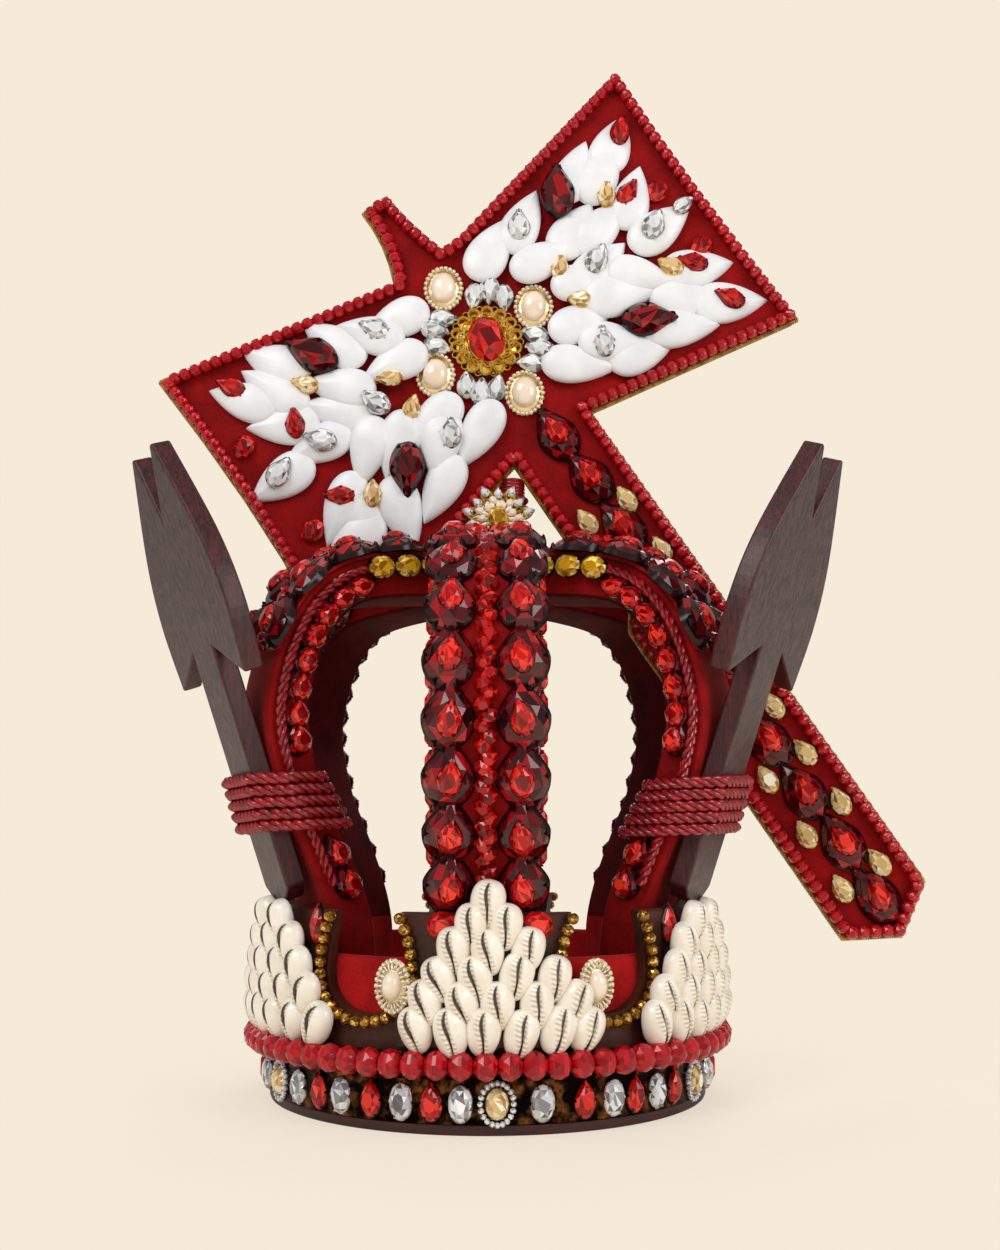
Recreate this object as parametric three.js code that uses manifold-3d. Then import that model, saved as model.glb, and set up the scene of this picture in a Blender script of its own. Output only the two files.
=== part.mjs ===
// A six-arched ceremonial crown that carries a large beaded double axe.
// Millimetres, +Z up. The crown faces -Y and stands on its rim at z = 0.
import * as THREE from 'three';
import { mergeVertices } from 'three/addons/utils/BufferGeometryUtils.js';
import Module from 'manifold-3d';

const wasm = await Module();
wasm.setup();

// Clearance between pieces that touch, and the overrun of every cutting solid
const seatGap = 0.3;
const overrun = 10;

// Every round piece takes its radius from the band's
const band = { radius: 100, thickness: 7, top: 31, segments: 48 };

const rim = { setback: 1, width: 8.5, height: 4.4, round: 1.5, segments: 40 };

const bandStones = {
  perSector: 8,
  height: 12.4,
  seatDepth: 0.6,
  framed: { width: 13, length: 15, height: 4.2 },
  oval: { width: 8.4, length: 14, height: 3.6 },
  drop: { width: 8, length: 15, height: 3.6 },
};

const beadRing = { beads: 70, centreZ: 27.3, radius: 5.7, waist: 3.4, sides: 4 };

const crest = { setback: 2, top: 84.5 };

const scallop = { halfWidth: 19.5, mouthHalfWidth: 14, bottom: 44, widestZ: 59, divisions: 3 };

const edging = { radius: 2.3, edgeOffset: 3, steps: 11, sides: 5 };

const liner = { thickness: 5.7, bottom: 5, top: 66, segments: 36 };

const cowrie = {
  rows: 6,
  width: 12.2,
  shownLength: 11,
  height: 7.5,
  pitch: 13.6,
  rowPitch: 9.6,
  firstRowZ: 41.5,
  backing: 6.5,
  backingInset: 0.8,
};

const pearl = {
  width: 17,
  length: 20.5,
  frameWidth: 15,
  stoneWidth: 11,
  shoulderWidth: 8,
  base: 2.6,
  shoulder: 6,
  height: 7.6,
  sides: 10,
  azimuth: 24.5,
  z: 57,
  sink: 1.5,
};

// The arch's side view: heights, and how far its outer face stands out from the liner's inner face
const arch = {
  width: 34,
  footZ: 52,
  lobeOut: 2.6,
  lobeZ: 88,
  waistOut: 12.6,
  waistZ: 110,
  tieOut: 23.2,
  tieZ: 133,
  bulgeOut: 29.6,
  bulgeZ: 170,
  shoulderOut: 15,
  shoulderZ: 212,
  crownOut: -11.5,
  crownZ: 234.5,
  hubZ: 244,
  thickness: 19,
  footDivisions: 4,
};

const hub = { thickness: 19, domeRise: 14, domeRadius: 16.5, domeFootRadius: 29, domeSides: 12 };

const post = { x: 11.4, radius: 4.5, rise: 44.4, sides: 12 };

const jewelBand = {
  width: 48.4,
  thickness: 1.6,
  startZ: 100,
  tiedStartZ: 186,
  endRadius: 44,
  gem: { width: 19, length: 27, height: 7 },
  gemGap: 0.6,
  gemOffset: 14.5,
  ridgeWidth: 5,
  ridgeHeight: 4,
};

const edgeCord = { radius: 2.2, drop: 5, startZ: 92, endRadius: 46, steps: 9, sides: 4 };

const topper = {
  x: 4.6,
  reach: 16.2,
  thickness: 3,
  standoff: 11.4,
  petals: 5,
  petalWidth: 12,
  spread: 144,
  coreRadius: 6.5,
  oval: { width: 9, length: 11, height: 5 },
};

// The big double axe: its own frame has u across the blades and v up the handle
const plate = {
  centreX: -1.25,
  centreZ: 358.2,
  tilt: 34,
  headTurn: 3.6,
  thickness: 9,
  rightTopReach: 142,
  rightBottomReach: 131,
  rightTop: 75,
  leftTopReach: 141,
  leftBottomReach: 149,
  leftTop: 83,
  bottomCorner: -85,
  leftEnd: -58,
  edgeHollow: 9,
  socketTop: 52.5,
  socketRight: 24,
  spurLeft: -17,
  spurRight: 12,
  spurTip: 93,
  spurTipHalfWidth: 7,
  notchLeft: -27,
  notchV: -58,
  handleRight: 22.1,
  handleLeft: -24.5,
  handleEnd: -334,
  handlePoint: -348,
  edgeDivisions: 4,
  slotInset: 6.5,
  slotRise: 9.6,
};

const border = { radius: 3, inset: 2.4, sides: 5 };

// Petals and stones: places and sizes as shares of the spray's reach, and the turn of their tips in degrees
const spray = {
  reach: 140,
  petal: { widthShare: 0.157, lengthShare: 0.2715, height: 4.5 },
  lift: 1.2,
  petalPlaces: [
    [0.25, 0.263, 28], [0.38, 0.251, 32], [0.39, 0.143, 0], [0.5, 0.16, 22], [0.63, 0.24, 26],
    [0.8, 0.32, 34], [0.58, 0.069, 10], [0.72, 0.114, 24], [0.69, -0.023, 0], [0.51, -0.051, 5],
    [0.56, -0.149, -40], [0.66, -0.274, -38], [0.77, -0.389, -34], [0.42, -0.08, -8], [0.42, -0.194, -42],
    [0.32, -0.251, -42],
  ],
  stone: { widthShare: 0.107, lengthShare: 0.157, height: 8 },
  stonePlaces: [[0.56, 0.274, 120], [0.56, -0.24, -20]],
  slotMargin: 26.4,
};

const medallion = {
  radius: 18.5,
  frameRadius: 16.5,
  base: 3,
  stone: { width: 19, length: 24, height: 9 },
  pearlPlaces: [[-2.3, 35.4], [29.9, 2.1], [-30.7, -0.1], [0.8, -32.6]],
  clusterAngles: [53, 134, 230, 317],
  clusterSpread: 22,
  crystalRadius: 25,
  crystal: { width: 15, length: 11, height: 7 },
  frameSides: 12,
  stoneSides: 8,
};

// Rows of stones down the handle, above and below the slot for the arches
const handleStones = {
  upperStart: -60,
  upperCount: 2,
  lowerStart: -178.4,
  lowerCount: 6,
  pitch: 29.6,
  overlap: 3.4,
  width: 19,
  height: 6,
};

// The wooden hand axes that lean on the side arches
const handAxe = {
  thickness: 9,
  lean: 19.8,
  handleHalfWidth: 13.5,
  footZ: 89.4,
  barbU: 99,
  barbHalfWidth: 42,
  notchU: 114,
  bellyU: 130,
  bellyHalfWidth: 45,
  shoulderU: 160,
  shoulderHalfWidth: 38,
  hornU: 203,
  hornHalfWidth: 15,
  vU: 172,
  bevel: 1,
  curveDivisions: 3,
};

const tie = {
  turns: 5,
  radius: 2.2,
  pitch: 5,
  centreZ: 128,
  stepsPerTurn: 16,
  sides: 5,
  squareness: 4,
  clearance: 1.1,
  lengthMargin: 1,
  backMargin: 2.85,
};

const postTie = { turns: 2, radius: 1.7, pitch: 4, drop: 10.4, stepsPerTurn: 14, sides: 5, squareness: 2 };

// How every stone is cut: its table's share of its width, and the tapers that draw one end to a point
const stoneCut = { sides: 5, tableShare: 0.55, dropTaper: 1 / 2, pearTaper: 1 / 3 };

const sectors = ['front', 'right_front', 'right_back', 'back', 'left_back', 'left_front'];
const sectorAngle = Math.PI * 2 / sectors.length;
const degree = Math.PI / 180;

const rimRadius = () => band.radius - rim.setback;
const bandInnerRadius = () => band.radius - band.thickness;
const crestRadius = () => band.radius - crest.setback;
const linerRadius = () => bandInnerRadius() - seatGap - liner.thickness;
const archRadius = (out) => linerRadius() + out;

const finish = (color, roughness, metalness = 0) =>
  new THREE.MeshStandardMaterial({ color, roughness, metalness });

const finishes = {
  darkWood: () => finish(0x2a0d0c, 0.35),
  grainedWood: () => finish(0x55423d, 0.5),
  leather: () => finish(0x3a1a12, 0.55),
  velvet: () => finish(0x8a0f12, 0.95),
  redBeads: () => finish(0xb3131f, 0.2),
  redGlass: () => finish(0xc01818, 0.1),
  darkGlass: () => finish(0x4a0610, 0.1),
  clearGlass: () => finish(0xe8ecf0, 0.05),
  gold: () => finish(0xc8962e, 0.3, 1),
  pearl: () => finish(0xf3e6d3, 0.25),
  shell: () => finish(0xf1e8d8, 0.35),
  petal: () => finish(0xf7f7f7, 0.4),
  cord: () => finish(0x8c1420, 0.5),
};

// Solids
function toSolid(geometry) {
  const plain = geometry.clone();
  for (const name of ['normal', 'uv']) plain.deleteAttribute(name);
  const merged = mergeVertices(plain);
  return new wasm.Manifold(new wasm.Mesh({
    numProp: 3,
    vertProperties: new Float32Array(merged.attributes.position.array),
    triVerts: new Uint32Array(merged.index.array),
  }));
}

function toGeometry(solid) {
  const mesh = solid.getMesh();
  const geometry = new THREE.BufferGeometry();
  geometry.setAttribute('position', new THREE.BufferAttribute(new Float32Array(mesh.vertProperties), 3));
  geometry.setIndex(new THREE.BufferAttribute(new Uint32Array(mesh.triVerts), 1));
  geometry.computeVertexNormals();
  return geometry;
}

const join = (geometries) => toGeometry(wasm.Manifold.union(geometries.map(toSolid)));

const cut = (geometry, tools) =>
  toGeometry(tools.reduce((solid, tool) => solid.subtract(toSolid(tool)), toSolid(geometry)));

// Pieces and places
function piece(name, geometry, material) {
  const mesh = new THREE.Mesh(geometry, material);
  mesh.name = name;
  return mesh;
}

function turned(azimuth, ...children) {
  const group = new THREE.Group();
  group.rotation.z = azimuth;
  group.add(...children);
  return group;
}

// A ring turned about +Z from a closed profile of [radius, height] points
function revolve(profile, segments = band.segments) {
  const points = [...profile, profile[0]].map(([radius, z]) => new THREE.Vector2(radius, z));
  return new THREE.LatheGeometry(points, segments).rotateX(Math.PI / 2);
}

const ring = (inner, outer, bottom, top, segments) =>
  revolve([[inner, bottom], [outer, bottom], [outer, top], [inner, top]], segments);

// Stands a flat shape up on the front of the crown, going outward from the given radius
function standOnFront(shape, radius, depth, curveSegments = scallop.divisions) {
  const geometry = new THREE.ExtrudeGeometry(shape, { depth, bevelEnabled: false, curveSegments });
  return geometry.rotateX(Math.PI / 2).translate(0, -radius, 0);
}

// A faceted stone lying on the XY plane with its table up; taper draws one end to a point
function stone({ width, length, height }, taper = 0, sides = stoneCut.sides) {
  const geometry = new THREE.CylinderGeometry(stoneCut.tableShare, 1, height, sides);
  geometry.rotateX(Math.PI / 2).scale(width / 2, length / 2, 1).translate(0, 0, height / 2);
  const place = geometry.attributes.position;
  for (let i = 0; i < place.count; i += 1) {
    const upShare = Math.max(0, place.getY(i) / (length / 2));
    place.setX(i, place.getX(i) * (1 - taper * upShare));
  }
  return geometry;
}

// Lays a piece made on the XY plane against the crown's side, its face outward
function onCrown(geometry, azimuth, radius, z, tilt = 0) {
  return geometry.rotateX(Math.PI / 2 - tilt).translate(0, -radius, z).rotateZ(azimuth);
}

function circleShape(radius, sides) {
  const centre = new THREE.Vector2();
  const corner = (i) => new THREE.Vector2(radius, 0).rotateAround(centre, i / sides * Math.PI * 2);
  return new THREE.Shape(Array.from({ length: sides }, (_, i) => corner(i)));
}

const tube = (curve, radius, steps, sides) =>
  new THREE.ExtrudeGeometry(circleShape(radius, sides), { steps, extrudePath: curve });

// Base, band and crest
function baseRim() {
  const { width, height, round, segments } = rim;
  const radius = rimRadius();
  const inner = radius - width;
  const outside = [[radius - round, 0], [radius, round], [radius, height]];
  return revolve([[inner, 0], ...outside, [inner, height]], segments);
}

function stoneBand() {
  const stones = [];
  const count = sectors.length * bandStones.perSector;
  for (let i = 0; i < count; i += 1) {
    const place = i % bandStones.perSector;
    const odd = place % 2 === 1;
    const plain = odd ? stone(bandStones.oval) : stone(bandStones.drop, stoneCut.dropTaper);
    const kind = place === 0 ? stone(bandStones.framed) : plain;
    const azimuth = i / count * Math.PI * 2;
    stones.push(onCrown(kind, azimuth, band.radius - bandStones.seatDepth, bandStones.height));
  }
  const wall = ring(bandInnerRadius(), band.radius, rim.height + seatGap, band.top);
  return join([wall.rotateZ(Math.PI / band.segments), ...stones]);
}

// Torus with a narrow waist between every two beads
function beadRingGeometry() {
  const { beads, radius, waist, sides, centreZ } = beadRing;
  const centreRadius = band.radius + seatGap + radius;
  const geometry = new THREE.TorusGeometry(centreRadius, radius, sides, beads * 2);
  const place = geometry.attributes.position;
  const point = new THREE.Vector3();
  const centre = new THREE.Vector3();
  for (let i = 0; i < place.count; i += 1) {
    point.fromBufferAttribute(place, i);
    centre.set(point.x, point.y, 0).setLength(centreRadius);
    const column = Math.round(Math.atan2(point.y, point.x) / Math.PI * beads);
    const share = column % 2 === 0 ? 1 : waist / radius;
    point.sub(centre).multiplyScalar(share).add(centre);
    place.setXYZ(i, point.x, point.y, point.z);
  }
  return geometry.translate(0, 0, centreZ);
}

// Horseshoe opening, seen from the front; offset widens it for the beads that edge it
function horseshoePoints(offset, top) {
  const path = new THREE.Path();
  const halfWidth = scallop.halfWidth + offset;
  const mouth = scallop.mouthHalfWidth + offset;
  const depth = scallop.widestZ - scallop.bottom + offset;
  path.moveTo(-mouth, top);
  path.quadraticCurveTo(-halfWidth, (scallop.widestZ + crest.top) / 2, -halfWidth, scallop.widestZ);
  path.absellipse(0, scallop.widestZ, halfWidth, depth, Math.PI, Math.PI * 2, false, 0);
  path.quadraticCurveTo(halfWidth, (scallop.widestZ + crest.top) / 2, mouth, top);
  return path.getPoints(scallop.divisions);
}

function crestWall() {
  const wall = ring(bandInnerRadius(), crestRadius(), band.top + seatGap, crest.top);
  const outline = new THREE.Shape(horseshoePoints(0, crest.top + overrun));
  const tools = sectors.map((_, i) => {
    const opening = standOnFront(outline, 0, crestRadius() + overrun);
    return opening.rotateZ((i + 1 / 2) * sectorAngle);
  });
  return cut(wall, tools);
}

// The bead string follows the horseshoe on the curved wall; a clearance thickens it
function beadEdging(clearance = 0) {
  const radius = crestRadius() + seatGap + edging.radius;
  const places = horseshoePoints(edging.edgeOffset, crest.top - edging.radius).map(({ x, y }) => {
    const azimuth = x / crestRadius();
    return new THREE.Vector3(Math.sin(azimuth) * radius, -Math.cos(azimuth) * radius, y);
  });
  return tube(new THREE.CatmullRomCurve3(places), edging.radius + clearance, edging.steps, edging.sides);
}

const velvetLiner = () =>
  ring(linerRadius(), bandInnerRadius() - seatGap, liner.bottom, liner.top, liner.segments);

// Cowries in rows, each a shell less than the row below, on a pad that clears the bead strings
function cowriePanel(rowsKept) {
  const { rows, pitch, rowPitch, firstRowZ, width, shownLength, height } = cowrie;
  const backingRadius = crestRadius() + seatGap;
  const shellRadius = backingRadius + cowrie.backing - cowrie.backingInset;
  const shells = [];
  for (let row = 0; row < rowsKept; row += 1) {
    const inRow = rows - row;
    for (let i = 0; i < inRow; i += 1) {
      const shell = stone({ width, length: shownLength, height });
      const azimuth = (i - (inRow - 1) / 2) * pitch / shellRadius;
      shells.push(onCrown(shell, azimuth, shellRadius, firstRowZ + row * rowPitch));
    }
  }
  const bottom = firstRowZ - shownLength / 2;
  const top = firstRowZ + (rowsKept - 1) * rowPitch + shownLength / 2;
  const halfBottom = rows * pitch / 2;
  const halfTop = (rows - rowsKept + 1) * pitch / 2;
  const outline = new THREE.Shape([
    new THREE.Vector2(-halfBottom, bottom),
    new THREE.Vector2(halfBottom, bottom),
    new THREE.Vector2(halfTop, top),
    new THREE.Vector2(-halfTop, top),
  ]);
  const wedge = toSolid(standOnFront(outline, 0, crestRadius() + overrun));
  const slab = toSolid(ring(backingRadius, backingRadius + cowrie.backing, bottom, top));
  const backing = slab.intersect(wedge);
  const inside = toSolid(ring(linerRadius(), backingRadius, 0, crest.top * 2));
  const whole = toGeometry(wasm.Manifold.union([backing, ...shells.map(toSolid)]).subtract(inside));
  const channels = [-1, 1].map((side) => beadEdging(seatGap).rotateZ(side * sectorAngle / 2));
  return cut(whole, channels);
}

// A pearl in a raised frame, as a turned profile stretched to an oval
function pearlBrooch() {
  const { width, length, frameWidth, stoneWidth, shoulderWidth, base, shoulder, height, sides } = pearl;
  const profile = [
    [0, 0],
    [width / 2, 0],
    [frameWidth / 2, base],
    [stoneWidth / 2, base],
    [shoulderWidth / 2, shoulder],
    [0, height],
  ];
  return join([revolve(profile, sides)]).scale(1, length / width, 1);
}

// The foot's flat outer face touches the round liner along its two edges
const archFootRadius = () =>
  Math.sqrt((linerRadius() * Math.cos(Math.PI / liner.segments)) ** 2 - (arch.width / 2) ** 2) - seatGap;

// The arch's outer face as a curve from foot to hub
function archOuter() {
  const footRadius = archFootRadius();
  const points = [
    [footRadius, arch.footZ],
    [footRadius, (arch.footZ + arch.lobeZ) / 2],
    [archRadius(arch.lobeOut), arch.lobeZ],
    [archRadius(arch.waistOut), arch.waistZ],
    [archRadius(arch.tieOut), arch.tieZ],
    [archRadius(arch.bulgeOut), arch.bulgeZ],
    [archRadius(arch.shoulderOut), arch.shoulderZ],
    [archRadius(arch.crownOut), arch.crownZ],
    [hubApothem() + seatGap, arch.hubZ],
  ];
  return new THREE.SplineCurve(points.map(([radius, z]) => new THREE.Vector2(radius, z)));
}

// Six arches of this width meet the hexagonal hub edge to edge
const hubApothem = () => (arch.width / 2) / Math.tan(sectorAngle / 2);

// Points of a curve at the given shares, moved square to it, outward for a positive distance
function offsetPoints(curve, shares, distance) {
  return shares.map((share) => {
    const tangent = curve.getTangent(share);
    return curve.getPoint(share).add(new THREE.Vector2(tangent.y, -tangent.x).multiplyScalar(distance));
  });
}

// Where a curve that rises first passes a height, or comes within a radius
function shareWhere(curve, test) {
  const samples = 400;
  let i = 0;
  while (i < samples && !test(curve.getPoint(i / samples))) i += 1;
  return i / samples;
}

// Extrudes a side view, whose x is the radius and y the height, across the arch's width
function acrossArch(points, width) {
  const sideView = new THREE.Shape(points);
  const geometry = new THREE.ExtrudeGeometry(sideView, { depth: width, bevelEnabled: false });
  return geometry.translate(0, 0, -width / 2).rotateX(Math.PI / 2).rotateZ(-Math.PI / 2);
}

// The arch is faceted at the foot, then once for every row of big stones, so that its stones lie flat
function facets() {
  const curve = archOuter();
  const from = shareWhere(curve, (point) => point.y > jewelBand.startZ);
  const to = shareWhere(curve, (point) => point.y > arch.tieZ && point.x < jewelBand.endRadius);
  const rowLength = jewelBand.gem.length + jewelBand.gemGap;
  const rows = Math.floor(curve.getLength() * (to - from) / rowLength);
  const foot = Array.from({ length: arch.footDivisions }, (_, i) => from * i / arch.footDivisions);
  return { curve, foot, stones: Array.from({ length: rows + 1 }, (_, i) => from + (to - from) * i / rows) };
}

function archBody() {
  const { curve, foot, stones } = facets();
  const shares = [...foot, ...stones, 1];
  const outer = offsetPoints(curve, shares, 0);
  const inner = offsetPoints(curve, shares, -arch.thickness).reverse();
  inner[0].x = outer.at(-1).x;
  return acrossArch([...outer, ...inner], arch.width);
}

// Backing strip on the arch's outer face with a ridge, and two columns of big stones, a pair to a facet
function jewelStrip(startZ) {
  const { curve, stones } = facets();
  const shares = stones.filter((share) => curve.getPoint(share).y > startZ);
  const { thickness, width, ridgeHeight, ridgeWidth, gem, gemGap } = jewelBand;
  const low = offsetPoints(curve, shares, seatGap);
  const layer = (height, across) =>
    acrossArch([...low, ...offsetPoints(curve, shares, seatGap + height).reverse()], across);
  const parts = [layer(thickness, width), layer(thickness + ridgeHeight, ridgeWidth)];
  const face = offsetPoints(curve, shares, seatGap + thickness / 2);
  for (let row = 0; row < face.length - 1; row += 1) {
    const along = face[row + 1].clone().sub(face[row]);
    const centre = face[row].clone().lerp(face[row + 1], 1 / 2);
    const lean = Math.atan2(along.x, along.y);
    for (const side of [-1, 1]) {
      const seated = stone({ ...gem, length: along.length() - gemGap }, stoneCut.pearTaper);
      seated.rotateX(Math.PI / 2 + lean);
      parts.push(seated.translate(side * jewelBand.gemOffset, -centre.x, centre.y));
    }
  }
  return join(parts);
}

function edgeCordTube(side) {
  const curve = archOuter();
  const from = shareWhere(curve, (point) => point.y > edgeCord.startZ);
  const to = shareWhere(curve, (point) => point.y > arch.tieZ && point.x < edgeCord.endRadius);
  const offset = side * (arch.width / 2 + seatGap + edgeCord.radius);
  const step = (to - from) / edgeCord.steps;
  const shares = Array.from({ length: edgeCord.steps + 1 }, (_, i) => from + i * step);
  const places = offsetPoints(curve, shares, -edgeCord.drop)
    .map(({ x, y }) => new THREE.Vector3(offset, -x, y));
  return tube(new THREE.CatmullRomCurve3(places), edgeCord.radius, edgeCord.steps, edgeCord.sides);
}

// Hexagonal hub with a mound on it, and the post that carries the big axe
function topHub() {
  const corner = hubApothem() / Math.cos(sectorAngle / 2);
  const body = new THREE.CylinderGeometry(corner, corner, hub.thickness, sectors.length);
  body.rotateX(Math.PI / 2).rotateZ(sectorAngle / 2).translate(0, 0, arch.hubZ - hub.thickness / 2);
  const mound = new THREE.CylinderGeometry(hub.domeRadius, hub.domeFootRadius, hub.domeRise, hub.domeSides);
  mound.rotateX(Math.PI / 2).translate(0, 0, arch.hubZ + hub.domeRise / 2);
  const stem = new THREE.CylinderGeometry(post.radius, post.radius, post.rise, post.sides);
  stem.rotateX(Math.PI / 2).translate(post.x, 0, arch.hubZ + post.rise / 2);
  return join([body, mound, stem]);
}

// Fan of gold lobes round a core with an oval stone, standing on the mound before the post
function topperBrooch() {
  const { x, reach, thickness, standoff, petals, petalWidth, spread, coreRadius, oval } = topper;
  const centreZ = arch.hubZ + hub.domeRise + seatGap + coreRadius;
  const lobes = Array.from({ length: petals }, (_, i) => {
    const angle = (i / (petals - 1) - 1 / 2) * spread * degree;
    const lobe = stone({ width: petalWidth, length: reach, height: thickness });
    return lobe.translate(0, reach / 2, 0).rotateZ(angle);
  });
  const core = new THREE.CylinderGeometry(coreRadius, coreRadius, thickness, petals * 2);
  core.rotateX(Math.PI / 2).translate(0, 0, thickness / 2);
  const middle = stone(oval).translate(0, 0, thickness / 2);
  return join([core, middle, ...lobes]).rotateX(Math.PI / 2).translate(x, -standoff, centreZ);
}

// The slots pass just over the hub
const plateSlotTop = () => arch.hubZ + plate.slotRise;

// The big axe's outline, turned a little on its handle like the real one
function plateOutline() {
  const turn = plate.headTurn * degree;
  const head = (u, v) => new THREE.Vector2(u, v).rotateAround(new THREE.Vector2(), turn);
  const { leftBottomReach, bottomCorner, edgeHollow, socketTop } = plate;
  const slotReach = archRadius(arch.crownOut) - plate.slotInset;
  const slotTop = plateSlotTop();
  const shape = new THREE.Path();
  const to = (point) => shape.lineTo(point.x, point.y);
  const bend = (via, end) => shape.quadraticCurveTo(via.x, via.y, end.x, end.y);
  shape.moveTo((plate.handleLeft + plate.handleRight) / 2, plate.handlePoint);
  shape.lineTo(plate.handleRight, plate.handleEnd);
  shape.lineTo(plate.handleRight, plate.notchV);
  to(head(plate.rightBottomReach, bottomCorner));
  bend(head(plate.rightTopReach - edgeHollow, 0), head(plate.rightTopReach, plate.rightTop));
  to(head(plate.socketRight, socketTop));
  to(head(plate.spurRight, socketTop));
  const tip = plate.spurTipHalfWidth;
  const spurMiddle = (socketTop + plate.spurTip) / 2;
  bend(head(tip, spurMiddle), head(tip, plate.spurTip));
  to(head(-tip, plate.spurTip));
  bend(head(-tip, spurMiddle), head(plate.spurLeft, socketTop));
  to(head(-plate.leftTopReach, plate.leftTop));
  const leftEnd = head(-leftBottomReach, plate.leftEnd);
  const notch = head(plate.notchLeft, plate.notchV);
  const handleCorner = new THREE.Vector2(plate.handleLeft, plate.handleEnd);
  bend(head(-leftBottomReach + edgeHollow, 0), leftEnd);
  to(ontoPlate(-slotReach, ontoCrown(leftEnd).y));
  to(ontoPlate(-slotReach, slotTop));
  to(crossing(head(-leftBottomReach, bottomCorner), notch, 'y', slotTop));
  to(notch);
  to(crossing(notch, handleCorner, 'y', slotTop));
  to(ontoPlate(slotReach, slotTop));
  to(crossing(notch, handleCorner, 'x', slotReach));
  to(handleCorner);
  return shape.getPoints(plate.edgeDivisions);
}

// Between the plate's own frame and the crown's x and z
const plateCentre = new THREE.Vector2(plate.centreX, plate.centreZ);

const ontoCrown = (point) =>
  point.clone().rotateAround(new THREE.Vector2(), plate.tilt * degree).add(plateCentre);

const ontoPlate = (x, z) =>
  new THREE.Vector2(x, z).sub(plateCentre).rotateAround(new THREE.Vector2(), -plate.tilt * degree);

// Where a straight edge of the plate passes one of the crown's x or z values
function crossing(start, end, axis, value) {
  const [from, to] = [ontoCrown(start)[axis], ontoCrown(end)[axis]];
  return start.clone().lerp(end, (value - from) / (to - from));
}

function placeOnPlate(geometry) {
  const group = new THREE.Object3D();
  group.position.set(plate.centreX, 0, plate.centreZ);
  group.rotation.y = -plate.tilt * degree;
  group.updateMatrix();
  return geometry.clone().applyMatrix4(group.matrix);
}

// The plate hangs its notch on the post, and its slots clear the roots of the arches
function axePlate() {
  const shape = new THREE.Shape(plateOutline());
  const flat = new THREE.ExtrudeGeometry(shape, { depth: plate.thickness, bevelEnabled: false });
  return placeOnPlate(flat.rotateX(Math.PI / 2).translate(0, plate.thickness / 2, 0));
}

// Moves every side of a closed outline inward by the same distance
function inset(points, distance) {
  const count = points.length;
  return points.map((point, i) => {
    const before = point.clone().sub(points[(i + count - 1) % count]).normalize();
    const after = points[(i + 1) % count].clone().sub(point).normalize();
    const normal = new THREE.Vector2(-before.y - after.y, before.x + after.x).normalize();
    const mitre = normal.x * -before.y + normal.y * before.x;
    return point.clone().add(normal.multiplyScalar(distance / mitre));
  });
}

// Bead string as a closed moulding: every corner of its section is the outline inset by its own distance
function plateBorder() {
  const { radius, sides } = border;
  const outline = plateOutline();
  const count = outline.length;
  const height = plate.thickness / 2 + seatGap + radius;
  const places = [];
  const triangles = [];
  for (let side = 0; side < sides; side += 1) {
    const angle = side / sides * Math.PI * 2;
    const next = (side + 1) % sides * count;
    inset(outline, border.inset + radius * Math.cos(angle)).forEach(({ x, y }, i) => {
      const corner = (i + 1) % count;
      places.push(x, -height - radius * Math.sin(angle), y);
      triangles.push(side * count + i, next + i, next + corner);
      triangles.push(side * count + i, next + corner, side * count + corner);
    });
  }
  const geometry = new THREE.BufferGeometry();
  geometry.setAttribute('position', new THREE.Float32BufferAttribute(places, 3));
  geometry.setIndex(triangles);
  geometry.computeVertexNormals();
  return placeOnPlate(geometry);
}

// Lays a piece made on the XY plane on the plate's front face at (u, v)
function onPlate(geometry, u, v, angle = 0, lift = seatGap) {
  const laid = geometry.rotateZ(angle).translate(u, v, plate.thickness / 2 + lift);
  return laid.rotateX(Math.PI / 2);
}

// White petals that open toward the blade's edge, with two big stones among them
function petalSpray(side) {
  const { reach, petal, lift, slotMargin } = spray;
  const sized = ({ widthShare, lengthShare, height }) =>
    ({ width: widthShare * reach, length: lengthShare * reach, height });
  const lay = (geometry, [along, up, turn], height) => {
    const angle = (side < 0 ? 180 - turn : turn) - 90;
    return onPlate(geometry, side * along * reach, up * reach, angle * degree, height);
  };
  const clearsArches = ([along, up]) =>
    ontoCrown(new THREE.Vector2(side * along * reach, up * reach)).y > plateSlotTop() + slotMargin;
  const petals = spray.petalPlaces.filter(clearsArches).map((place, i) =>
    lay(stone(sized(petal), stoneCut.dropTaper), place, seatGap + (i % 2) * lift));
  const gems = spray.stonePlaces.map((place) =>
    lay(stone(sized(spray.stone), stoneCut.pearTaper), place, seatGap + lift));
  return placeOnPlate(join([...petals, ...gems]).rotateY(-plate.headTurn * degree));
}

// Round gold frame with an oval stone, crystals fanned between its four framed pearls
function centreBrooch() {
  const { radius, frameRadius, base, clusterAngles, clusterSpread, crystalRadius, crystal } = medallion;
  const frame = new THREE.CylinderGeometry(frameRadius, radius, base, medallion.frameSides);
  frame.rotateX(Math.PI / 2).translate(0, 0, base / 2);
  const angles = clusterAngles.flatMap((angle) => [angle - clusterSpread, angle, angle + clusterSpread]);
  const crystals = angles.map((angle) =>
    stone(crystal).translate(crystalRadius, 0, 0).rotateZ(angle * degree));
  const pearls = medallion.pearlPlaces.map(([u, v]) =>
    pearlBrooch().rotateZ(-plate.tilt * degree).translate(u, v, 0));
  const middle = stone(medallion.stone, 0, medallion.stoneSides).translate(0, 0, base / 2);
  return placeOnPlate(onPlate(join([frame, middle, ...crystals, ...pearls]), 0, 0));
}

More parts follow.
